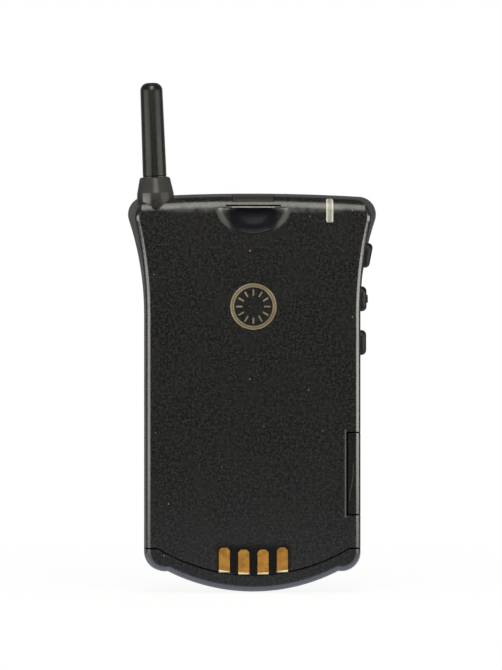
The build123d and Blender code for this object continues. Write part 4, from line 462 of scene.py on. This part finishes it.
def gold_plate(name, glinting_end=False):
    """Gold plate on spring strip: rolling lines, rubbed patches, brown tarnish, optional painted glint on the
    lower ends.
    """
    finish = new_finish(name)
    rolled = finish.noise(1.0, 2.0, 0.6, finish.stretched((900.0, 900.0, 5200.0)))
    rubbed = finish.noise(650.0)
    tarnish = finish.between(finish.noise(420.0, rough=0.65), 0.52, 0.72)
    gold = finish.tint(finish.between(rubbed, *SPREAD), rgb(0.46, 0.20, 0.035), rgb(0.68, 0.34, 0.07))
    wear_and_painted_light = finish.tint(tarnish * 0.55, gold, rgb(0.2, 0.1, 0.03))
    metal = 1.0 - tarnish * 0.35
    if glinting_end:
        # painted glint: pale, less metallic lower ends
        glint = finish.between(finish.above_seam(), SEAM_GAP + 0.45 * MM, SEAM_GAP + 0.35 * MM)
        wear_and_painted_light = finish.tint(glint, wear_and_painted_light, rgb(0.88, 0.8, 0.56))
        metal = metal * (1.0 - glint * 0.85)
    return finish.surface(
        Base_Color=wear_and_painted_light,
        Metallic=metal,
        Roughness=finish.between(rolled, *SPREAD, 0.32, 0.5),
        Normal=finish.relief(rolled + tarnish * 0.4, 8e-6),
    )


def light_guide(name, node):
    """Milky plastic, darker along its middle and paler along its edges."""
    finish = new_finish(name)
    middle, half = middle_and_half(node)
    x, y, z = finish.axes()
    fine = finish.noise(1500.0)
    rim = finish.between(abs(x - middle.x), half.x * 0.35, half.x * 0.8)
    shade = rim * 0.75 + finish.between(fine, 0.35, 0.7) * 0.25
    return finish.surface(
        Base_Color=finish.tint(shade, rgb(0.2, 0.2, 0.17), rgb(0.52, 0.51, 0.42)),
        Roughness=finish.between(fine, *SPREAD, 0.26, 0.36),
        Normal=finish.relief(fine, 5e-6),
        Subsurface_Weight=0.15,
        Subsurface_Radius=(0.0008, 0.0008, 0.0006),
        Subsurface_Scale=1.0,
    )


RING_BAND = 1.0 * MM          # width of the emblem's ring


def stamped_ring(name, node):
    """Bronze foil, bright along the ring's two rims, with painted shade in the channel between them."""
    finish = new_finish(name)
    middle, half = middle_and_half(node)
    x, y, z = finish.axes()
    out = ((x - middle.x) ** 2 + (z - middle.z) ** 2) ** 0.5
    # painted shade in the channel between the rims
    channel_shade = finish.between(abs(out - (half.x - RING_BAND / 2)), RING_BAND * 0.32, RING_BAND * 0.12)
    fine = finish.noise(2600.0)
    cloud = finish.between(finish.noise(260.0, 2.0, 0.5), 0.35, 0.65)
    shade = finish.between(fine, *SPREAD) * 0.5 + cloud * 0.5
    bright = finish.tint(shade, rgb(0.42, 0.35, 0.22), rgb(0.74, 0.64, 0.43))
    return finish.surface(
        Base_Color=finish.tint(channel_shade * 0.75, bright, rgb(0.16, 0.12, 0.065)),
        Metallic=1.0,
        Roughness=finish.between(fine, *SPREAD, 0.3, 0.4) + channel_shade * 0.1,
        Normal=finish.relief(fine, 10e-6),
    )


DISPLAY_FRAME_X = 3.4 * MM    # dark border of the display, at its sides
DISPLAY_FRAME_Z = 3.2 * MM    # and at its ends


def liquid_crystal(name, node):
    """A reflecting liquid crystal: pale grey-green field of small cells, dark frame around it."""
    finish = new_finish(name)
    middle, half = middle_and_half(node)
    half_width, half_height = half.x - DISPLAY_FRAME_X, half.z - DISPLAY_FRAME_Z
    x, y, z = finish.axes()
    inside = finish.between(abs(x - middle.x), half_width, half_width - 0.1 * MM)
    inside = inside * finish.between(abs(z - middle.z), half_height, half_height - 0.1 * MM)
    cells = finish.node(
        "ShaderNodeTexBrick",
        {"offset": 0.0, "squash": 1.0},
        {
            "Vector": finish.node("ShaderNodeCombineXYZ", sockets={0: x, 1: z}),
            "Color1": rgb(0.30, 0.34, 0.25),
            "Color2": rgb(0.28, 0.32, 0.235),
            "Mortar": rgb(0.33, 0.37, 0.275),
            "Scale": 1.0,
            "Mortar Size": 0.05 * MM,
            "Brick Width": 0.45 * MM,
            "Row Height": 0.5 * MM,
        },
    )
    return finish.surface(
        Base_Color=finish.tint(inside, rgb(0.02, 0.022, 0.02), cells),
        Roughness=finish.between(finish.noise(900.0, 2.0, 0.5), *SPREAD, 0.2, 0.28),
    )


def circuit_board(name):
    """Green solder mask over copper runs, with tinned pads."""
    finish = new_finish(name)
    x, y, z = finish.axes()
    grid = finish.node("ShaderNodeCombineXYZ", sockets={0: x, 1: z})
    runs = finish.node(
        "ShaderNodeTexBrick",
        {"offset": 0.4, "squash": 1.4, "squash_frequency": 3},
        {
            "Vector": grid,
            "Color1": rgb(0.01, 0.075, 0.03),
            "Color2": rgb(0.012, 0.09, 0.036),
            "Mortar": rgb(0.03, 0.17, 0.07),
            "Scale": 1.0,
            "Mortar Size": 0.12 * MM,
            "Brick Width": 2.6 * MM,
            "Row Height": 0.9 * MM,
        },
    )
    dots = finish.node(
        "ShaderNodeTexVoronoi",
        {"feature": "F1", "distance": "EUCLIDEAN"},
        {"Vector": grid, "Scale": 420.0, "Randomness": 0.6},
    )
    pads = finish.between(dots, 0.24, 0.2)
    return finish.surface(
        Base_Color=finish.tint(pads, runs, rgb(0.62, 0.58, 0.5)),
        Metallic=pads,
        Roughness=pads * 0.05 + 0.3,
        Normal=finish.relief(pads, 15e-6),
    )


THREADS = 18000.0             # radians of the weave per metre


def woven_cloth(name):
    """Fine black cloth behind the sound slots."""
    finish = new_finish(name)
    x, y, z = finish.axes()
    weave = finish.between((x * THREADS).sine() * (z * THREADS).sine(), -1.0, 1.0)
    return finish.surface(
        Base_Color=finish.tint(weave, rgb(0.006, 0.006, 0.006), rgb(0.05, 0.05, 0.05)),
        Roughness=0.8,
        Normal=finish.relief(weave, 40e-6),
    )


# ---------------------------------------------------------------- finishes of the nodes
BLACK, SATIN = rgb(0.0004, 0.0004, 0.0004), rgb(0.0185, 0.0185, 0.018)
housing = moulded("housing_plastic", BLACK, SATIN, 0.27, marks=housing_marks)
lid_plastic = moulded("lid_plastic", BLACK, SATIN, 0.27)
door_plastic = moulded(
    "door_plastic", rgb(0.001, 0.001, 0.001), rgb(0.009, 0.009, 0.0085), 0.32, level=0.35, marks=door_marks
)
# a darker copy of the black plastic: painted shade in the contacts' well
shaded_well_plastic = moulded(
    "shaded_well_plastic", rgb(0.0003, 0.0003, 0.0003), rgb(0.006, 0.006, 0.006), 0.35, level=0.3, rubbed=0.0
)
cap = moulded("cap_plastic", rgb(0.0005, 0.0005, 0.0006), rgb(0.0165, 0.0165, 0.0175), 0.25, marks=cap_marks)
catch = moulded(
    "catch_plastic", rgb(0.014, 0.013, 0.011), rgb(0.034, 0.032, 0.028), 0.42,
    grain=3600.0, relief=6e-6, level=0.4, dusty=0.0, rubbed=0.0,
)
key_plastic = moulded(
    "key_plastic", rgb(0.004, 0.004, 0.004), rgb(0.016, 0.016, 0.015), 0.4,
    grain=2600.0, relief=10e-6, level=0.35, dusty=0.3, rubbed=0.0,
)
collar_rubber = moulded(
    "antenna_rubber", rgb(0.0015, 0.0018, 0.0012), rgb(0.011, 0.0118, 0.0085), 0.3,
    grain=2000.0, relief=9e-6, dusty=0.2, rubbed=0.0, Sheen_Weight=0.35, Sheen_Roughness=0.3,
)
milky = light_guide("light_plastic", "indicator_light_pipe")
bronze = stamped_ring("emblem_metal", "emblem_ring")
gold = gold_plate("contact_metal")
charging_gold = gold_plate("charging_metal", glinting_end=True)
inner = plain_surface("inner_plastic", rgb(0.016, 0.016, 0.016), rgb(0.035, 0.035, 0.034), 0.45, relief=12e-6)
stamped = drawn_metal(
    "connector_metal", rgb(0.38, 0.38, 0.37), rgb(0.55, 0.55, 0.54), 0.35, stretch=(5000, 700, 700)
)
clear = plain_surface(
    "lens_plastic", rgb(0.86, 0.89, 0.87), rgb(0.92, 0.94, 0.92), 0.06,
    grain=400.0, relief=1e-6, Transmission_Weight=1.0, IOR=1.49,
)
silicone = plain_surface("silicone", rgb(0.28, 0.28, 0.27), rgb(0.38, 0.38, 0.37), 0.5, grain=1800.0)
chips = plain_surface(
    "component_plastic", rgb(0.012, 0.012, 0.013), rgb(0.03, 0.03, 0.03), 0.55, grain=4000.0
)
tinned = drawn_metal(
    "shield_metal", rgb(0.42, 0.42, 0.4), rgb(0.62, 0.62, 0.6), 0.32, stretch=(700, 700, 5200)
)
rod_metal = plain_surface(
    "antenna_metal", rgb(0.24, 0.24, 0.23), rgb(0.38, 0.38, 0.37), 0.25, 1.0, relief=3e-6
)
nickel = plain_surface(
    "bush_metal", rgb(0.05, 0.048, 0.043), rgb(0.11, 0.105, 0.095), 0.18, 1.0, relief=3e-6
)
soft_key = plain_surface(
    "key_rubber", rgb(0.03, 0.03, 0.033), rgb(0.055, 0.055, 0.06), 0.55,
    grain=2600.0, relief=14e-6, level=0.35,
)
card = plain_surface(
    "card_plastic", rgb(0.74, 0.74, 0.71), rgb(0.84, 0.84, 0.82), 0.4, grain=700.0, relief=2e-6
)
steel = drawn_metal(
    "steel", rgb(0.36, 0.36, 0.36), rgb(0.55, 0.55, 0.54), 0.28, stretch=(600, 4800, 4800), relief=4e-6
)
tungsten = plain_surface("weight_metal", rgb(0.26, 0.26, 0.25), rgb(0.38, 0.38, 0.37), 0.42, 1.0, relief=8e-6)
amber_film = plain_surface("flex_film", rgb(0.42, 0.18, 0.03), rgb(0.62, 0.3, 0.06), 0.24, relief=4e-6)
can = drawn_metal(
    "cell_metal", rgb(0.5, 0.5, 0.5), rgb(0.68, 0.68, 0.67), 0.3, stretch=(600, 600, 4000), relief=6e-6
)
switches = plain_surface("switch_metal", rgb(0.38, 0.38, 0.36), rgb(0.56, 0.56, 0.54), 0.3, 1.0)
print_white = plain_surface(
    "legend_print", rgb(0.56, 0.57, 0.55), rgb(0.70, 0.71, 0.69), 0.5, grain=5000.0, relief=3e-6
)
board = circuit_board("board_laminate")
cloth = woven_cloth("speaker_cloth")
crystal = liquid_crystal("display_glass", "display_module")

worn_by = {
    housing: ("rear_housing",),
    lid_plastic: ("front_housing", "lid_inner_housing", "lid_outer_housing", "battery_case", "battery_cover"),
    door_plastic: ("sim_tray",),
    cap: ("bottom_cap",),
    catch: ("latch_catch",),
    key_plastic: ("volume_down_key", "smart_key", "volume_up_key", "battery_latch"),
    collar_rubber: ("antenna_sleeve",),
    milky: ("indicator_light_pipe",),
    bronze: ("emblem_ring",),
    charging_gold: ("charging_contacts",),
    gold: ("lid_contacts", "battery_contacts"),
    shaded_well_plastic: ("contact_block",),
    inner: ("microphone", "display_frame", "antenna_guide_tube", "sim_socket"),
    stamped: ("accessory_connector",),
    clear: ("display_lens",),
    crystal: ("display_module",),
    silicone: ("keypad_mat",),
    board: ("main_board",),
    chips: ("board_components",),
    tinned: ("rf_shield",),
    switches: ("side_switches",),
    rod_metal: ("antenna_rod",),
    nickel: ("antenna_bushing",),
    steel: ("vibrator_motor", "case_screws", "lid_screws", "hinge_pin", "hinge_cartridge"),
    tungsten: ("vibrator_weight",),
    amber_film: ("hinge_flex",),
    card: ("sim_card",),
    can: ("battery_cell",),
    cloth: ("earpiece_speaker",),
    soft_key: tuple(node for node in nodes if node.startswith("key_")),
}
for material, members in worn_by.items():
    for member in members:
        for slot in nodes[member].material_slots:
            slot.material = material


# ---------------------------------------------------------------- making pieces
def piece(name, shape, material, body):
    """A new piece from a bmesh, in the shared frame."""
    mesh = bpy.data.meshes.new(name)
    bmesh.ops.recalc_face_normals(shape, faces=shape.faces)
    shape.to_mesh(mesh)
    shape.free()
    mesh.materials.append(material)
    made = bpy.data.objects.new(name, mesh)
    bpy.context.scene.collection.objects.link(made)
    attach(made, body)
    return made


def walls(shape, rings):
    """Faces between each ring of points and the next, of as many points each."""
    for below, above in zip(rings, rings[1:]):
        for i in range(len(below)):
            j = (i + 1) % len(below)
            shape.faces.new((below[i], below[j], above[j], above[i]))


def closed_skin(shape, rings):
    """The walls of a row of rings, and a face at both ends."""
    walls(shape, rings)
    shape.faces.new(rings[0])
    shape.faces.new(reversed(rings[-1]))


CORNER_STEPS = 8              # straight runs in a rounded corner
SMALL_CORNER_STEPS = 3
ARC_STEPS = 24                # and along the chin


def rounded_ring(half_x, half_z, corner, steps=CORNER_STEPS):
    """Points round a rectangle with rounded corners, in X and Z."""
    points = []
    for quarter, (sx, sz) in enumerate(((1, 1), (-1, 1), (-1, -1), (1, -1))):
        for step in range(steps + 1):
            turn = math.pi / 2 * (quarter + step / steps)
            points.append((
                sx * (half_x - corner) + corner * math.cos(turn),
                sz * (half_z - corner) + corner * math.sin(turn),
            ))
    return points


def slab(shape, points, centre, low, high, bevel=0.0):
    """A closed plate along Y from a ring of points, its high face drawn in by the bevel."""
    reach = max(max(abs(x), abs(z)) for x, z in points)
    levels = [(low, 0.0), (high - bevel, 0.0), (high, bevel)] if bevel else [(low, 0.0), (high, 0.0)]
    rings = []
    for depth, inset in levels:
        share = 1 - inset / reach
        rings.append([
            shape.verts.new((centre[0] + x * share, depth, centre[1] + z * share)) for x, z in points
        ])
    closed_skin(shape, rings)


def frame_plate(shape, outer, window, centre, low, high):
    """A plate along Y with a window: two rings of as many points each."""
    rings = []
    for points, depth in ((outer, low), (outer, high), (window, high), (window, low)):
        rings.append([shape.verts.new((centre[0] + x, depth, centre[1] + z)) for x, z in points])
    walls(shape, rings + rings[:1])


def arc_strip(shape, radius, reach, width, low, high):
    """A strip along the chin's arc, out to a distance in X on both sides."""
    near, far = radius - width / 2, radius + width / 2
    ends = []
    for step in range(ARC_STEPS + 1):
        x = (2 * step / ARC_STEPS - 1) * reach
        out = Vector((x, -math.sqrt(radius * radius - x * x))) / radius
        ends.append([
            shape.verts.new((out.x * at, depth, CHIN_RADIUS + out.y * at))
            for at, depth in ((near, low), (far, low), (far, high), (near, high))
        ])
    closed_skin(shape, ends)


# ---------------------------------------------------------------- legends on the keypad's keys
# Turns letters from the plane of X and Y to that of X and Z, to read from the keypad's side.
READ_FROM_FRONT = Matrix(((-1, 0, 0, 0), (0, 0, 1, 0), (0, 1, 0, 0), (0, 0, 0, 1)))
PRINT = 0.04 * MM             # thickness of the print
LETTER_STEPS = 4              # straight runs in each curve of a letter
JOIN_STEPS = 8                # and in each round end of a line
LEGENDS = {
    "key_1": ("1", ""), "key_2": ("2", "ABC"), "key_3": ("3", "DEF"),
    "key_4": ("4", "GHI"), "key_5": ("5", "JKL"), "key_6": ("6", "MNO"),
    "key_7": ("7", "PQRS"), "key_8": ("8", "TUV"), "key_9": ("9", "WXYZ"),
    "key_star": ("*", ""), "key_0": ("0", "+"), "key_hash": ("#", ""),
}
FIGURE_SIZE = 4.2 * MM
FIGURE_SHIFT = 1.7 * MM       # aside, where letters stand next to the figure
LETTERS_SIZE = 1.7 * MM
LETTERS_SHIFT = 2.2 * MM
CLEAR_SIZE = 4.0 * MM
MENU_PITCH = 1.1 * MM
MENU_HALF = 1.7 * MM
MENU_LINE = 0.42 * MM
HANDSET = ((-1.9, -0.7), (-1.5, 0.1), (-0.8, 0.5), (0, 0.65), (0.8, 0.5), (1.5, 0.1), (1.9, -0.7))   # mm
HANDSET_LINE = 0.5 * MM
CUP_X = (1.55 * MM, 2.05 * MM)          # the handset's thick ends
CUP_DROP = 0.75 * MM
CUP_LINE = 0.9 * MM


def lettering(shape, words, size, x, y, z):
    """Adds generic lettering in print, its middle at a point of a key's face."""
    curve = bpy.data.curves.new("letters", "FONT")
    curve.body, curve.size, curve.extrude = words, size, PRINT / 2
    curve.align_x, curve.align_y = "CENTER", "CENTER"
    curve.resolution_u = LETTER_STEPS
    letters = bpy.data.objects.new("letters", curve)
    bpy.context.scene.collection.objects.link(letters)
    bpy.context.view_layer.update()
    mesh = bpy.data.meshes.new_from_object(letters.evaluated_get(bpy.context.evaluated_depsgraph_get()))
    mesh.transform(Matrix.Translation((x, y + PRINT / 2, z)) @ READ_FROM_FRONT)
    shape.from_mesh(mesh)
    bpy.data.objects.remove(letters)
    bpy.data.curves.remove(curve)
    bpy.data.meshes.remove(mesh)


def stroke(shape, points, width, depth):
    """Adds a printed line through points in X and Z, with round joins."""
    for (x0, z0), (x1, z1) in zip(points, points[1:]):
        along = Vector((x1 - x0, z1 - z0)).normalized() * width / 2
        side = Vector((-along.y, along.x))
        ring = []
        for x, z, way in ((x1, z1, 1), (x0, z0, -1)):
            for step in range(JOIN_STEPS + 1):
                turn = math.pi * step / JOIN_STEPS
                offset = (side * math.cos(turn) + along * math.sin(turn)) * way
                ring.append((x + offset.x, z + offset.y))
        closed_skin(shape, [[shape.verts.new((x, y, z)) for x, z in ring] for y in (depth, depth + PRINT)])


def key_face(key):
    """Middle of a key's printed face."""
    middle, half = middle_and_half(key)
    return middle.x, middle.y + half.y, middle.z


def put_legend(key, legend):
    """Makes a key's legend a piece that moves with the key."""
    piece("legend_" + key.removeprefix("key_"), legend, print_white, home[key])


for key, (figure, letters) in LEGENDS.items():
    x, y, z = key_face(key)
    legend = bmesh.new()
    lettering(legend, figure, FIGURE_SIZE, x + (FIGURE_SHIFT if letters else 0), y, z)
    if letters:
        lettering(legend, letters, LETTERS_SIZE, x - LETTERS_SHIFT, y, z)
    put_legend(key, legend)

legend = bmesh.new()
lettering(legend, "C", CLEAR_SIZE, *key_face("key_clear"))
put_legend("key_clear", legend)

x, y, z = key_face("key_menu")
legend = bmesh.new()
for row in (-1, 0, 1):
    level = z + row * MENU_PITCH
    stroke(legend, ((x - MENU_HALF, level), (x + MENU_HALF, level)), MENU_LINE, y)
put_legend("key_menu", legend)

x, y, z = key_face("key_call")
legend = bmesh.new()
stroke(legend, [(x + a * MM, z + b * MM) for a, b in HANDSET], HANDSET_LINE, y)
for side in (-1, 1):
    stroke(legend, [(x + side * out, z - CUP_DROP) for out in CUP_X], CUP_LINE, y)
put_legend("key_call", legend)

# ---------------------------------------------------------------- print behind the display's lens
MASK_CLEAR = 0.15 * MM        # between the print and the lens's edge
MASK_BORDER_X = 3.0 * MM
MASK_BORDER_Z = 2.6 * MM
MASK_CORNER = 1.9 * MM
WINDOW_CORNER = 0.8 * MM
MASK_Y = (0.01 * MM, 0.04 * MM)         # from the lens's inner face

low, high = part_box("display_lens")
middle, half = middle_and_half("display_lens")
half_x, half_z = half.x - MASK_CLEAR, half.z - MASK_CLEAR
mask = bmesh.new()
frame_plate(
    mask,
    rounded_ring(half_x, half_z, MASK_CORNER),
    rounded_ring(half_x - MASK_BORDER_X, half_z - MASK_BORDER_Z, WINDOW_CORNER),
    (middle.x, middle.z),
    low.y + MASK_Y[0],
    low.y + MASK_Y[1],
)
piece("lens_mask", mask, key_plastic, home["display_lens"])

# ---------------------------------------------------------------- pads that the lid rests on
SUNK = 0.05 * MM              # how deep the pads and the seal sit in the lid's inner face
BUMPER_X, BUMPER_Z = 17.5 * MM, 7.0 * MM
BUMPER_HALF_X, BUMPER_HALF_Z = 1.6 * MM, 0.9 * MM
BUMPER_CORNER = 0.85 * MM
BUMPER_PROUD = 0.16 * MM

low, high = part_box("lid_inner_housing")
bumper_ring = rounded_ring(BUMPER_HALF_X, BUMPER_HALF_Z, BUMPER_CORNER)
for side, name in ((-1, "left"), (1, "right")):
    bumper = bmesh.new()
    slab(bumper, bumper_ring, (side * BUMPER_X, BUMPER_Z), low.y + SUNK, low.y - BUMPER_PROUD)
    piece("lid_bumper_" + name, bumper, soft_key, home["lid_inner_housing"])

# ---------------------------------------------------------------- seal in the gap under the lid
SEAL_PROUD = 0.26 * MM
SEAL_WIDTH = 0.6 * MM
SEAL_INSET = 1.4 * MM         # from the chin's edge
SEAL_X = 22.3 * MM            # its straight sides
SEAL_MIDDLE_Z = 44.9 * MM
SEAL_HALF_Z = 37.4 * MM
SEAL_CORNER = 0.28 * MM
SEAL_BEVEL = 0.08 * MM

seal = bmesh.new()
seal_face = low.y - SEAL_PROUD
arc_strip(seal, CHIN_RADIUS - SEAL_INSET, SEAL_X, SEAL_WIDTH, seal_face, low.y + SUNK)
for side in (-1, 1):
    slab(
        seal,
        rounded_ring(SEAL_WIDTH / 2, SEAL_HALF_Z, SEAL_CORNER),
        (side * SEAL_X, SEAL_MIDDLE_Z),
        low.y + SUNK,
        seal_face,
        SEAL_BEVEL,
    )
piece("lid_seal", seal, soft_key, home["lid_inner_housing"])

# ---------------------------------------------------------------- lip where the two housings meet
LIP_LOW, LIP_HIGH = -1.4 * MM, -0.5 * MM          # in Y, across the joint
LIP_SIDE_HIGH = 0.4 * MM
LIP_CORNER = 0.2 * MM
LIP_CHIN_INSET, LIP_CHIN_HALF, LIP_CHIN_WIDTH = 0.7 * MM, 17.5 * MM, 0.5 * MM
LIP_TOP_Z, LIP_TOP_HALF_X, LIP_TOP_HALF_Z = 93.2 * MM, 6.0 * MM, 0.3 * MM
LIP_SIDE_X, LIP_SIDE_HALF_X = 23.8 * MM, 0.4 * MM
LIP_SIDE_Z, LIP_SIDE_HALF_Z = 51.9 * MM, 40.9 * MM

lip = bmesh.new()
arc_strip(lip, CHIN_RADIUS - LIP_CHIN_INSET, LIP_CHIN_HALF, LIP_CHIN_WIDTH, LIP_LOW, LIP_HIGH)
top_ring = rounded_ring(LIP_TOP_HALF_X, LIP_TOP_HALF_Z, LIP_CORNER, SMALL_CORNER_STEPS)
slab(lip, top_ring, (0, LIP_TOP_Z), LIP_LOW, LIP_HIGH)
side_ring = rounded_ring(LIP_SIDE_HALF_X, LIP_SIDE_HALF_Z, LIP_CORNER, SMALL_CORNER_STEPS)
for side in (-1, 1):
    slab(lip, side_ring, (side * LIP_SIDE_X, LIP_SIDE_Z), LIP_LOW, LIP_SIDE_HIGH)
piece("housing_lip", lip, inner, home["front_housing"])

# ---------------------------------------------------------------- spring behind the battery's latch
TURNS = 5                     # the first and the last lie closed
WIRE_RADIUS = 0.12 * MM
CLOSED_HEIGHT = 6 * WIRE_RADIUS         # of two closed turns, and the wire itself
TURN_STEPS = 24
WIRE_SIDES = 8


def coil_rise(turned, open_height):
    """Height of the wire after a number of turns: closed turns rise by the wire's thickness alone."""
    closed = min(turned, 1) + max(0, turned - TURNS + 1)
    opened = min(max(turned - 1, 0), TURNS - 2) / (TURNS - 2)
    return closed * 2 * WIRE_RADIUS + opened * open_height


low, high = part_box("latch_spring")
middle, half = middle_and_half("latch_spring")
coil = bmesh.new()
rings = []
for step in range(TURNS * TURN_STEPS + 1):
    turned = step / TURN_STEPS
    out = Vector((math.cos(turned * 2 * math.pi), math.sin(turned * 2 * math.pi), 0))
    rise = coil_rise(turned, high.z - low.z - CLOSED_HEIGHT)
    core = Vector((middle.x, middle.y, low.z + WIRE_RADIUS + rise)) + out * (half.x - WIRE_RADIUS)
    ring = []
    for corner in range(WIRE_SIDES):
        turn = corner * 2 * math.pi / WIRE_SIDES
        around = out * math.cos(turn) + Vector((0, 0, math.sin(turn)))
        ring.append(coil.verts.new(core + around * WIRE_RADIUS))
    rings.append(ring)
closed_skin(coil, rings)
wound = piece("latch_coil", coil, steel, home["latch_spring"])
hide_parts("latch_spring")
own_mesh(wound)

# ---------------------------------------------------------------- pins of the chin's connector
PIN_COUNT = 12
PIN_PITCH = 1.05 * MM
PIN_HALF_X, PIN_HALF_Z = 0.25 * MM, 1.9 * MM
PIN_CORNER = 0.12 * MM
PIN_DROP = 0.2 * MM           # below the middle of the connector
PIN_Y = (-0.35 * MM, -0.46 * MM)        # from the middle of the connector, sunk in its tongue
PIN_BEVEL = 0.03 * MM

middle, half = middle_and_half("accessory_connector")
pin_ring = rounded_ring(PIN_HALF_X, PIN_HALF_Z, PIN_CORNER, SMALL_CORNER_STEPS)
pins = bmesh.new()
for number in range(PIN_COUNT):
    x = (number - (PIN_COUNT - 1) / 2) * PIN_PITCH
    slab(pins, pin_ring, (x, middle.z - PIN_DROP), middle.y + PIN_Y[0], middle.y + PIN_Y[1], PIN_BEVEL)
piece("connector_pins", pins, gold, home["accessory_connector"])

# ---------------------------------------------------------------- chip pads on the card
PAD_COLUMNS, PAD_ROWS = 2, 4
PAD_PITCH_X, PAD_PITCH_Z = 5.6 * MM, 2.5 * MM
PAD_HALF_X, PAD_HALF_Z = 2.6 * MM, 1.1 * MM
PAD_CORNER = 0.4 * MM
CHIP_X = 9.0 * MM             # from the card's inner end
PAD_Y = (-0.01 * MM, 0.02 * MM)         # from the card's face

low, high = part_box("sim_card")
chip_x, chip_z = low.x + CHIP_X, (low.z + high.z) / 2
pad_ring = rounded_ring(PAD_HALF_X, PAD_HALF_Z, PAD_CORNER, SMALL_CORNER_STEPS)
pads = bmesh.new()
for column in range(PAD_COLUMNS):
    x = chip_x + (column - (PAD_COLUMNS - 1) / 2) * PAD_PITCH_X
    for row in range(PAD_ROWS):
        z = chip_z + (row - (PAD_ROWS - 1) / 2) * PAD_PITCH_Z
        slab(pads, pad_ring, (x, z), high.y + PAD_Y[0], high.y + PAD_Y[1])
piece("card_pads", pads, gold, home["sim_card"])

# ---------------------------------------------------------------- floor, light and air
ROOM = 0.12                   # how bright the phone mirrors the studio, away from the backdrop
BACKDROP = (0.8, 0.97)        # how much a direction points to the rear, where the white backdrop sets in
PAPER_NEAR = 0.9              # how much of the floor's white is its own, close to the phone
PAPER_REACH = (0.05, 0.4)     # over these distances from the phone that grows to all of it
NEAR_REACH = (0.3, 0.1)       # and over these, inwards, the floor turns pale in mirrors
NEAR_WHITE = rgb(0.72, 0.74, 0.78)
WHITE = rgb(1, 1, 1)
FLOOR_HALF = 6.0
FLOOR_MATT = rgb(0.95, 0.95, 0.95)
WARM = (1.0, 0.96, 0.87)
COOL = (0.95, 0.97, 1.0)
FILL = 0.45                   # strength of the light from all around
AIM = Vector((0, 0, 0.06))    # the lamps point at the phone's middle


def floor_paint():
    """White paper that holds the phone's shadow, and that the phone mirrors only nearby and to the rear."""
    finish = new_finish("floor_paint")
    direct, shown = finish.seen()
    x, y, z = finish.axes()
    reach = (x * x + y * y) ** 0.5
    share = finish.between(reach, *PAPER_REACH, PAPER_NEAR, 1.0)
    near = finish.tint(finish.between(reach, *NEAR_REACH), rgb(ROOM, ROOM, ROOM), NEAR_WHITE)
    paper = finish.tint(finish.between(y / reach, *BACKDROP).most(direct), near, WHITE)
    matt = finish.node("ShaderNodeBsdfDiffuse", sockets={"Color": FLOOR_MATT})
    white = finish.node("ShaderNodeEmission", sockets={"Color": paper, "Strength": 1.0})
    painted = finish.node("ShaderNodeMixShader", sockets={0: shown * share, 1: matt, 2: white})
    finish.node("ShaderNodeOutputMaterial", sockets={"Surface": painted})
    return finish.owner


floor_mesh = bpy.data.meshes.new("floor")
floor_corners = [(x * FLOOR_HALF, y * FLOOR_HALF, 0) for x, y in ((-1, -1), (1, -1), (1, 1), (-1, 1))]
floor_mesh.from_pydata(floor_corners, [], [(0, 1, 2, 3)])
floor_mesh.materials.append(floor_paint())
floor = bpy.data.objects.new("floor", floor_mesh)
bpy.context.scene.collection.objects.link(floor)


def softbox(name, direction, distance, width, height, radiance, colour=WARM):
    """A rectangular lamp in one direction from the phone; its width runs from front to back."""
    light = bpy.data.lights.new(name, "AREA")
    light.shape = "RECTANGLE"
    light.size, light.size_y = width, height
    light.energy = radiance * math.pi * width * height
    light.color = colour
    lamp = bpy.data.objects.new(name, light)
    out = Vector(direction).normalized()
    across = Vector((0, 1, 0)) - out * out.y
    across.normalize()
    lamp.matrix_world = Matrix.Translation(AIM + out * distance) @ Matrix(
        (across, out.cross(across), out)
    ).transposed().to_4x4()
    lamp.visible_camera = False
    bpy.context.scene.collection.objects.link(lamp)
    return lamp


SIDE_TURN = math.radians(60)
side, front = math.sin(SIDE_TURN), math.cos(SIDE_TURN)
softbox("right_box", (side, -front, 0), distance=0.6, width=0.62, height=0.2, radiance=3.9)
softbox("left_box", (-side, -front, 0), distance=0.6, width=0.62, height=0.2, radiance=3.0)
TOP_RAISE = math.radians(44)
above = (0, -math.cos(TOP_RAISE), math.sin(TOP_RAISE))
softbox("top_box", above, distance=0.6, width=0.5, height=0.26, radiance=7.0)
rear = softbox("rear_box", (0.2, 0.8, 0.6), distance=0.8, width=0.6, height=0.6, radiance=1.2, colour=COOL)
rear.visible_glossy = False


def studio_air():
    """Plain light from all around, which mirrors show as a dim room with a white backdrop to the rear."""
    world = bpy.data.worlds.new("air")
    bpy.context.scene.world = world
    air = Finish(world)
    direct, shown = air.seen()
    x, y, z = air.axes(air.node("ShaderNodeTexCoord", output="Generated"))
    strength = direct + (1 - direct) * air.between(y, *BACKDROP, ROOM, 1.0)
    fill = air.node("ShaderNodeBackground", sockets={"Color": rgb(*COOL), "Strength": FILL})
    paper = air.node("ShaderNodeBackground", sockets={"Color": WHITE, "Strength": strength})
    mixed = air.node("ShaderNodeMixShader", sockets={0: shown, 1: fill, 2: paper})
    air.node("ShaderNodeOutputWorld", sockets={"Surface": mixed})


studio_air()
